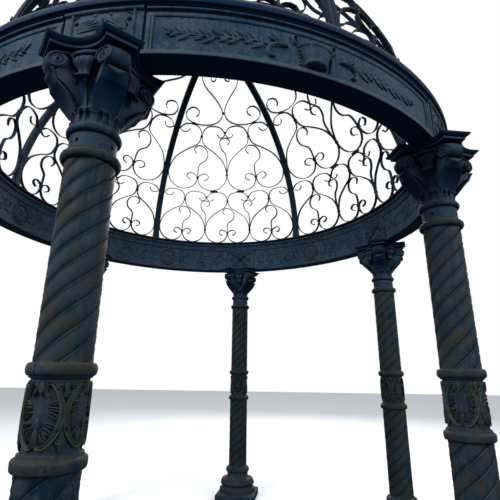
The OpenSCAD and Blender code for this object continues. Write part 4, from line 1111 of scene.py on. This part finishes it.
def crossPanel(bend):
    # Four leaves cross from corner to corner round a small flower, with curls at the top and the sides and
    # two leaves along the foot
    frameSection = [(0, -0.003), (0, 0.003), (0.002, 0.0045), (0.007, 0.0045), (0.009, 0.003),
                    (0.009, -0.003)]
    parts = [border((-0.152, 0.046), (0.152, 0.258), frameSection, bend, 16)]
    middle = 0.152
    for way, length in ((38, 0.126), (142, 0.126), (218, 0.120), (322, 0.120)):
        turn = math.radians(way)
        root = (0.012 * math.cos(turn), middle + 0.012 * math.sin(turn))
        parts.append(leaf(root, way, length, 0.0150, 0.0130, bend, 0, "fold", 0.1))
    for side in (-1, 1):
        top = [(side * 0.010, 0.186), (side * 0.036, 0.204), (side * 0.066, 0.222), (side * 0.060, 0.240),
               (side * 0.036, 0.240), (side * 0.028, 0.228), (side * 0.040, 0.222)]
        flank = [(side * 0.050, 0.160), (side * 0.084, 0.176), (side * 0.122, 0.172), (side * 0.132, 0.150),
                 (side * 0.116, 0.130), (side * 0.094, 0.138), (side * 0.102, 0.152)]
        for line in (top, flank):
            parts.append(scroll(line, [0.003, 0.0055, 0.0065, 0.0060, 0.0045],
                                [0.009, 0.012, 0.012, 0.009], bend, 24))
        parts.append(leaf((side * 0.016, 0.066), 90 - side * 72, 0.066, 0.012, 0.012, bend, side * -14))
    parts.append(leaf((0, 0.062), 90, 0.046, 0.011, 0.012, bend))
    parts.append(leaf((0, 0.196), 90, 0.040, 0.010, 0.012, bend))
    parts.append(rosette(bend, (0, middle), 0.022))
    return parts


def beamBlock():
    b = beamLook
    half = math.radians(b["blockAngle"]) / 2
    gap = 0.0006
    outer = b["outer"] - b["friezeBack"] + b["blockOut"]
    inner = b["inner"] + b["friezeBack"] - b["blockOut"]
    outside, inside = onRound(outer, beamFoot), onRound(inner, beamFoot, outward=-1)
    parts = [beamSweep(-half + gap, half - gap, b["blockOut"], 8)]
    for side in (-1, 1):
        post = np.array([(side * 0.151, y) for y in (b["friezeFoot"] - 0.004, 0.14, 0.2500)])
        parts.append(relief(post, [0.0065], [0.0100], "stem", outside, 0.1))
    return merged(parts + blockLeaves(outside) + crossPanel(inside))


# Dome: foot ring, six ribs, and the scrolls between them
domeLook = {
    "radius": 1.868, "rise": 1.726,
    "footWidth": 0.070, "footThick": 0.014,
    "ribWidth": 0.070, "ribDepth": 0.042, "ribGroove": 0.009, "ribGrooveDepth": 0.005,
    "barThick": 0.0095, "barDepth": 0.030, "gap": 0.0003, "tieSpace": 0.003,
    "rowTops": (24.4, 53.4, 77.0),     # where each row of scrolls ends, in degrees over the foot
}


def domePoint(azimuth, climb, off):
    # A quarter ellipse turned about Z; azimuth is clockwise from +Y and climb is the ellipse's own angle
    d = domeLook
    flat = (d["radius"] + off) * np.cos(climb)
    return np.stack([flat * np.sin(azimuth), flat * np.cos(azimuth),
                     domeFoot + (d["rise"] + off) * np.sin(climb) + 0 * azimuth], -1)


def domeNormal(azimuth, climb):
    d = domeLook
    flat = np.cos(climb) / d["radius"]
    n = np.stack([np.sin(azimuth) * flat, np.cos(azimuth) * flat, np.sin(climb) / d["rise"]], -1)
    return n / np.linalg.norm(n, axis=-1, keepdims=True)


def footRing():
    d = domeLook
    half, bevel = d["footWidth"] / 2, 0.002
    low, top = domeFoot - d["footThick"], domeFoot
    inner, outer = d["radius"] - half, d["radius"] + half
    profile = np.array([(inner, low + bevel), (inner + bevel, low), (outer - bevel, low),
                        (outer, low + bevel), (outer, top - bevel), (outer - bevel, top),
                        (inner + bevel, top), (inner, top - bevel)])
    sides = 180
    a = np.arange(sides)[:, None] * 2 * np.pi / sides
    r, z = profile[None, :, 0], profile[None, :, 1] + 0 * a
    return surface(np.stack([r * np.sin(a), r * np.cos(a), z], -1), 0.2, loop=True)


def domeRib():
    # The section carried up the dome's curve; its foot widens a little where it stands on the ring.
    # The halves of its width, depth and groove are w, h and g, the groove is e deep and the bevel is c.
    d = domeLook
    w, h, g, e = d["ribWidth"] / 2, d["ribDepth"] / 2, d["ribGroove"] / 2, d["ribGrooveDepth"]
    c = 0.003
    section = np.array([(-w, -h + c), (-w + c, -h), (w - c, -h), (w, -h + c), (w, h - c), (w - c, h),
                        (g + 0.002, h), (g, h - 0.001), (g - 0.001, h - e), (-g + 0.001, h - e),
                        (-g, h - 0.001), (-g - 0.002, h), (-w + c, h), (-w, h - c)])
    climb = np.linspace(0, math.acos(crownLook["hub"] / d["radius"]), 64)[:, None]
    flare = 1 + 0.22 * np.exp(-(climb / 0.035) ** 2)
    line = domePoint(0 * climb, climb, section[None, :, 1] * (1 + 0.35 * (flare - 1)))
    line[..., 0] = section[None, :, 0] * flare
    line[..., 2] = np.maximum(line[..., 2], domeFoot)
    return surface(line, 0.12)


def freeHalf(climb):
    # Half the angle that is free between the bars' middles beside two ribs
    d = domeLook
    taken = d["ribWidth"] / 2 + d["barThick"] / 2 + d["gap"]
    return bayTurn / 2 - np.arcsin(taken / (d["radius"] * np.cos(climb)))


def cellGap(climb):
    # The angle between the middles of two bars that a tie joins side by side
    d = domeLook
    return 2 * np.arcsin((d["barThick"] + d["tieSpace"]) / (2 * d["radius"] * np.cos(climb)))


def cellPoints(points, row, cells, cell, side):
    # Across a cell, 0 is its axis and 1 its side; up a cell, 0 is its foot and 1 its top
    d = domeLook
    if row == 0:
        low = math.asin((d["barThick"] / 2 + d["gap"]) / d["rise"])
    else:
        low = math.radians(d["rowTops"][row - 1])
    points = np.asarray(points, float)
    climb = low + (math.radians(d["rowTops"][row]) - low) * points[:, 1]
    gap, free = cellGap(climb), freeHalf(climb)
    if row == 2:
        half = free - gap / 2
        return side * (free - half * points[:, 0]), climb
    half = (free - (cells - 1) * gap / 2) / cells
    return half * (2 * cell + 1 + side * points[:, 0]) + cell * gap - free, climb


# The scroll of one cell: inner curl, lobe, neck with its tie, and top lobe
scrollLine = [(0.22, 0.15), (0.37, 0.18), (0.34, 0.238), (0.19, 0.25), (0.02, 0.20), (0.04, 0.12),
              (0.17, 0.042), (0.465, 0), (0.79, 0.049), (0.99, 0.175), (0.99, 0.315), (0.84, 0.47),
              (0.50, 0.594), (0.14, 0.685), (0.03, 0.776), (0.04, 0.874), (0.20, 0.947), (0.50, 0.97),
              (0.82, 0.95), (0.99, 0.88)]
scrollFlick = [(1.10, 0.818), (1.25, 0.80), (1.38, 0.85)]
scrollCurl = [(1.0, 0.875), (0.84, 0.84), (0.65, 0.845), (0.56, 0.90)]
topLine = [(0.30, 0.10), (0.38, 0.17), (0.30, 0.24), (0.15, 0.25), (0.04, 0.17), (0.06, 0.07), (0.20, 0.0),
           (0.46, -0.030), (0.75, 0.0), (0.93, 0.09), (0.99, 0.20), (0.965, 0.28), (0.86, 0.40), (0.68, 0.52),
           (0.42, 0.64), (0.22, 0.76), (0.14, 0.86), (0.21, 0.945), (0.42, 0.975), (0.68, 0.945),
           (0.83, 0.86), (0.80, 0.78), (0.68, 0.75), (0.58, 0.79), (0.59, 0.84)]
axisCrook = [(0, 0.19), (0, 0.343), (0.06, 0.40), (0.25, 0.46), (0.31, 0.55), (0.20, 0.636), (-0.03, 0.67),
             (-0.20, 0.636), (-0.22, 0.594), (-0.13, 0.545)]
sideCrook = [(1.0, 0.25), (1.03, 0.44), (0.99, 0.56), (0.84, 0.64), (0.77, 0.734), (0.85, 0.787),
             (1.0, 0.804), (1.15, 0.783), (1.19, 0.734), (1.08, 0.70)]


def scrollBar(azimuth, climb, steps):
    # A flat bar on edge along a line on the dome: its eight-sided section has its depth along the normal.
    # The last tenth of the bar thins toward its end.
    d = domeLook
    taper = 0.55
    line = smoothCurve(np.stack([azimuth, climb], -1), steps)
    azimuth, climb = line[:, 0], line[:, 1]
    middle, up = domePoint(azimuth, climb, 0), domeNormal(azimuth, climb)
    along = np.gradient(middle, axis=0)
    side = np.cross(up, along)
    side /= np.linalg.norm(side, axis=1)[:, None]
    t, h, c = d["barThick"] / 2, d["barDepth"] / 2, 0.0018
    across = np.array([-t, -t + c, t - c, t, t, t - c, -t + c, -t])
    deep = np.array([-h + c, -h, -h, -h + c, h - c, h, h, h - c])
    thin = np.minimum(1, taper + (1 - taper) * np.arange(steps)[::-1] / (0.10 * steps))[:, None]
    grid = (middle[:, None, :] + side[:, None, :] * across[None, :, None]
            + up[:, None, :] * (deep[None, :] * thin)[..., None])
    return surface(grid, 0.05)


def tieBlock(first, second, long):
    # A small block with bevelled edges across the bars between two points of the dome
    d = domeLook
    azimuth, climb = (first[0] + second[0]) / 2, (first[1] + second[1]) / 2
    up = domeNormal(azimuth, climb)
    right = np.array([np.cos(azimuth), -np.sin(azimuth), 0.0])
    rise = np.cross(right, up)
    centre = domePoint(azimuth, climb, 0)
    apart = np.linalg.norm(domePoint(first[0], climb, 0) - domePoint(second[0], climb, 0))
    across = apart / 2 + d["barThick"] * 0.62
    apart = np.linalg.norm(domePoint(azimuth, first[1], 0) - domePoint(azimuth, second[1], 0))
    tall = apart / 2 + long / 2
    deep, bevel = d["barDepth"] / 2 + 0.0016, 0.0015
    x, y = np.array([-1, -1, 1, 1, 1, 1, -1, -1.0]), np.array([-1, -1, -1, -1, 1, 1, 1, 1.0])
    ring8 = np.stack([x * (across - bevel * np.array([0, 1, 1, 0, 0, 1, 1, 0])),
                      y * (deep - bevel * np.array([1, 0, 0, 1, 1, 0, 0, 1]))], -1)
    rows = []
    for level, inset in ((-tall, bevel), (-tall + bevel, 0), (tall - bevel, 0), (tall, bevel)):
        flat = ring8 * (1 - inset / np.array([across, deep]))
        rows.append(centre + flat[:, :1] * right + flat[:, 1:] * up + level * rise)
    return surface(np.array(rows), 0.15)


def scrollPanel(hands):
    # In each row the crooks turn to the hand given for it
    parts = []

    def bar(points, row, cells, cell, side, steps):
        azimuth, climb = cellPoints(points, row, cells, cell, side)
        parts.append(scrollBar(azimuth, climb, steps))

    def tie(a, b, long):
        one, two = ([value[0] for value in cellPoints([point], *where)] for point, *where in (a, b))
        parts.append(tieBlock(one, two, long))

    for row, cells in ((0, 3), (1, 2)):
        for cell in range(cells):
            for side in (-1, 1):
                atRib = (cell == 0 and side < 0) or (cell == cells - 1 and side > 0)
                bar(scrollLine + (scrollCurl if atRib else scrollFlick), row, cells, cell, side, 56)
            bar(axisCrook, row, cells, cell, hands[row], 30)
            tie(((0.03, 0.19), row, cells, cell, -1), ((0.03, 0.19), row, cells, cell, 1), 0.020)
            tie(((0.03, 0.80), row, cells, cell, -1), ((0.03, 0.80), row, cells, cell, 1), 0.020)
        for cell in range(cells - 1):
            crook = [(1 + hands[row] * (x - 1), y) for x, y in sideCrook]
            bar(crook, row, cells, cell, 1, 30)
            tie(((0.99, 0.245), row, cells, cell, 1), ((0.99, 0.245), row, cells, cell + 1, -1), 0.022)
            tie(((0.99, 0.88), row, cells, cell, 1), ((0.99, 0.88), row, cells, cell + 1, -1), 0.022)
    for side in (-1, 1):
        bar(topLine, 2, 1, 0, side, 56)
        lower = 1 if side > 0 else 0
        tie(((0.50, 0.97), 0, 3, 1, side), ((0.465, 0), 1, 2, lower, -side), 0.008)
        tie(((0.50, 0.97), 1, 2, lower, side), ((0.30, -0.01), 2, 1, 0, side), 0.008)
    tie(((0.99, 0.20), 2, 1, 0, -1), ((0.99, 0.20), 2, 1, 0, 1), 0.022)
    return merged(parts)


# Crown: the hub that the ribs meet, and the turned finial on it
crownLook = {"hub": 0.165, "halfHeight": 0.032, "boss": 0.108, "bossHeight": 0.016, "ball": 0.062}


def crownHub():
    # A disc with rounded edges, and a low boss above and below it
    c = crownLook
    round8 = (0.008, 0.008)
    hub, boss = c["hub"], c["boss"]
    top = finialFoot
    low = top - 2 * (c["halfHeight"] + c["bossHeight"])
    lowRim, topRim = low + c["bossHeight"], top - c["bossHeight"]
    return revolved([
        (0.020, low), (boss - 0.008, low), arc((boss - 0.008, low + 0.008), round8, -90, 0, 5),
        (boss + 0.002, lowRim - 0.001), (hub - 0.008, lowRim),
        arc((hub - 0.008, lowRim + 0.008), round8, -90, 0, 5),
        (hub, low + 0.034), (hub - 0.004, low + 0.037), (hub - 0.004, top - 0.037), (hub, top - 0.034),
        arc((hub - 0.008, topRim - 0.008), round8, 0, 90, 5), (boss + 0.002, topRim + 0.001),
        arc((boss - 0.008, top - 0.008), round8, 0, 90, 5), (0.020, top - 0.0003)], 72, 0.25)


def finial():
    # A flared foot, a bead, a ball with a raised belt, a bead and a spike with a small round tip
    z = finialFoot
    ball = crownLook["ball"]
    ballZ = z + 0.016 + 0.074 + math.sqrt(ball ** 2 - 0.026 ** 2)
    tipZ = ballZ + math.sqrt(ball ** 2 - 0.024 ** 2) + 0.118
    return revolved([
        (0.030, z), bead(0.078, z, 0.016, 9), (0.064, z + 0.017), (0.062, z + 0.020),
        arc((0.064, z + 0.078), (-0.036, -0.058), 90, 0, 12), (0.030, z + 0.080),
        bead(0.034, z + 0.081, 0.008, 7), arc((0, ballZ), (ball, ball), -62, -6, 12),
        (ball + 0.0015, ballZ - 0.005), (ball + 0.0025, ballZ), (ball + 0.0015, ballZ + 0.005),
        arc((0, ballZ), (ball, ball), 6, 66, 12), (0.027, ballZ + 0.058),
        bead(0.029, ballZ + 0.058, 0.008, 7), (0.019, ballZ + 0.068), (0.012, ballZ + 0.100),
        (0.0075, tipZ - 0.018), (0.0055, tipZ - 0.011), arc((0, tipZ), (0.011, 0.011), -60, 84, 12)], 48, 0.2)


print("castings")
castings = (
    ("castBase", "column_base", "base_iron", columnBase()),
    ("castShaft", "column_shaft", "shaft_iron", columnShaft()),
    ("castCapital", "column_capital", "capital_iron", columnCapital()),
)
for k in range(ring["bays"]):
    for name, node, slotName, shape in castings:
        makePiece(f"{name}_{k + 1}", shape, slotName, [f"{node}_{k + 1}"], k * bayTurn, ring["columnCircle"])

print("ring beam and dome")
domeTurn = math.radians(ring["domeTurn"])
crookHands = ((-1, -1), (1, 1), (1, 1), (1, 1), (-1, 1), (1, 1))
turnedPieces = (
    ("castBlock", "beam_block", "block_iron", beamBlock(), 0.0),
    ("castBeam", "beam", "beam_iron", longBeam(), bayTurn / 2),
    ("wroughtRib", "dome_rib", "rib_iron", domeRib(), domeTurn + bayTurn / 2),
)
for k in range(ring["bays"]):
    for name, node, slotName, shape, start in turnedPieces:
        makePiece(f"{name}_{k + 1}", shape, slotName, [f"{node}_{k + 1}"], start + k * bayTurn)
    makePiece(f"wroughtScrolls_{k + 1}", scrollPanel(crookHands[k]), "scroll_iron", [f"scroll_panel_{k + 1}"],
              domeTurn + bayTurn + k * bayTurn)
makePiece("wroughtFootRing", footRing(), "foot_ring_iron", ["dome_foot_ring"])
makePiece("castHub", crownHub(), "crown_iron", ["crown_hub"])
makePiece("castFinial", finial(), "crown_iron", ["finial"])


# Stage: a pale floor and a white surround, a soft sky and two broad lamps
stageLook = {
    "floorSize": 60.0,
    "floorSeen": (0.86, 0.86, 0.855, 1),
    "floorBounce": (0.06, 0.075, 0.09, 1),
    "sky": (0.80, 0.86, 0.92, 1), "skyStrength": 0.70,
    "lamps": (   # name, place, aimed at, size and power
        ("keyLamp", (-5.0, -8.5, 8.5), (0, 0, 2.2), 5.0, 1350),
        ("fillLamp", (8.0, -4.5, 6.0), (0, 0, 2.4), 6.0, 560),
        ("backLamp", (1.0, 9.0, 7.5), (0, 0, 2.6), 6.0, 640),
    ),
}


def pointAt(source, target):
    # An object's turn so that its -Z runs from the source to the target and its Y stays upward
    aim = np.array(target, float) - source
    aim /= np.linalg.norm(aim)
    right = np.cross(aim, (0, 0, 1))
    right /= np.linalg.norm(right)
    return right, np.cross(right, aim), aim


def frameMatrix(right, up, aim, place):
    turn = Matrix((right, up, -np.asarray(aim))).transposed().to_4x4()
    turn.translation = place
    return turn


def buildStage():
    s = stageLook
    half = s["floorSize"] / 2
    mesh = bpy.data.meshes.new("floor")
    corners = [(-half, -half, 0), (half, -half, 0), (half, half, 0), (-half, half, 0)]
    mesh.from_pydata(corners, [], [(0, 1, 2, 3)])
    floor = bpy.data.objects.new("floor", mesh)
    bpy.context.scene.collection.objects.link(floor)
    material = bpy.data.materials.new("paleFloor")
    material.use_nodes = True
    wire = Wire(material.node_tree)
    seen = wire.node("LightPath", outlet="Is Camera Ray")
    dull = wire.node("BsdfDiffuse", None, {"Color": s["floorBounce"]})
    pale = wire.node("BsdfDiffuse", None, {"Color": s["floorSeen"]})
    mixed = wire.node("MixShader", None, {0: seen, 1: dull, 2: pale})
    material.node_tree.links.new(mixed.socket, material.node_tree.nodes["Material Output"].inputs["Surface"])
    mesh.materials.append(material)

    world = bpy.data.worlds.new("softSky")
    world.use_nodes = True
    bpy.context.scene.world = world
    wire = Wire(world.node_tree)
    path = {name: wire.node("LightPath", outlet=name)
            for name in ("Is Camera Ray", "Is Transmission Ray", "Is Glossy Ray")}
    seen = wire.maths("MAXIMUM", path["Is Camera Ray"], path["Is Transmission Ray"])
    seen = wire.maths("MAXIMUM", seen, path["Is Glossy Ray"])
    sky = wire.node("Background", None, {"Color": s["sky"], "Strength": s["skyStrength"]})
    white = wire.node("Background", None, {"Color": (1, 1, 1, 1), "Strength": 1.0})
    mixed = wire.node("MixShader", None, {0: seen, 1: sky, 2: white})
    world.node_tree.links.new(mixed.socket, world.node_tree.nodes["World Output"].inputs["Surface"])

    for name, place, target, size, power in s["lamps"]:
        lamp = bpy.data.lights.new(name, "AREA")
        lamp.shape = "DISK"
        lamp.size = size
        lamp.energy = power
        holder = bpy.data.objects.new(name, lamp)
        holder.matrix_world = frameMatrix(*pointAt(place, target), place)
        bpy.context.scene.collection.objects.link(holder)


# Camera: beside one column, just outside the ring, at a standing person's height and looking up
cameraLook = {
    "place": (0.883, -3.365, 1.400),
    "azimuth": -8.11, "elevation": 16.94,    # its way, in degrees
    "roll": 0.00956,                         # in radians
    "lens": 29.05,
}


def buildCamera():
    c = cameraLook
    azimuth, elevation, roll = math.radians(c["azimuth"]), math.radians(c["elevation"]), c["roll"]
    aim = np.array([math.sin(azimuth) * math.cos(elevation), math.cos(azimuth) * math.cos(elevation),
                    math.sin(elevation)])
    level = np.cross(aim, (0, 0, 1))
    level /= np.linalg.norm(level)
    upright = np.cross(level, aim)
    right = level * math.cos(roll) + upright * math.sin(roll)
    up = upright * math.cos(roll) - level * math.sin(roll)
    camera = bpy.data.cameras.new("camera")
    camera.lens = c["lens"]
    camera.sensor_width = 36.0
    camera.clip_end = 200
    holder = bpy.data.objects.new("camera", camera)
    holder.matrix_world = frameMatrix(right, up, aim, c["place"])
    bpy.context.scene.collection.objects.link(holder)
    bpy.context.scene.camera = holder


buildStage()
buildCamera()
bpy.context.scene.view_settings.view_transform = "Standard"
print("stage and camera")
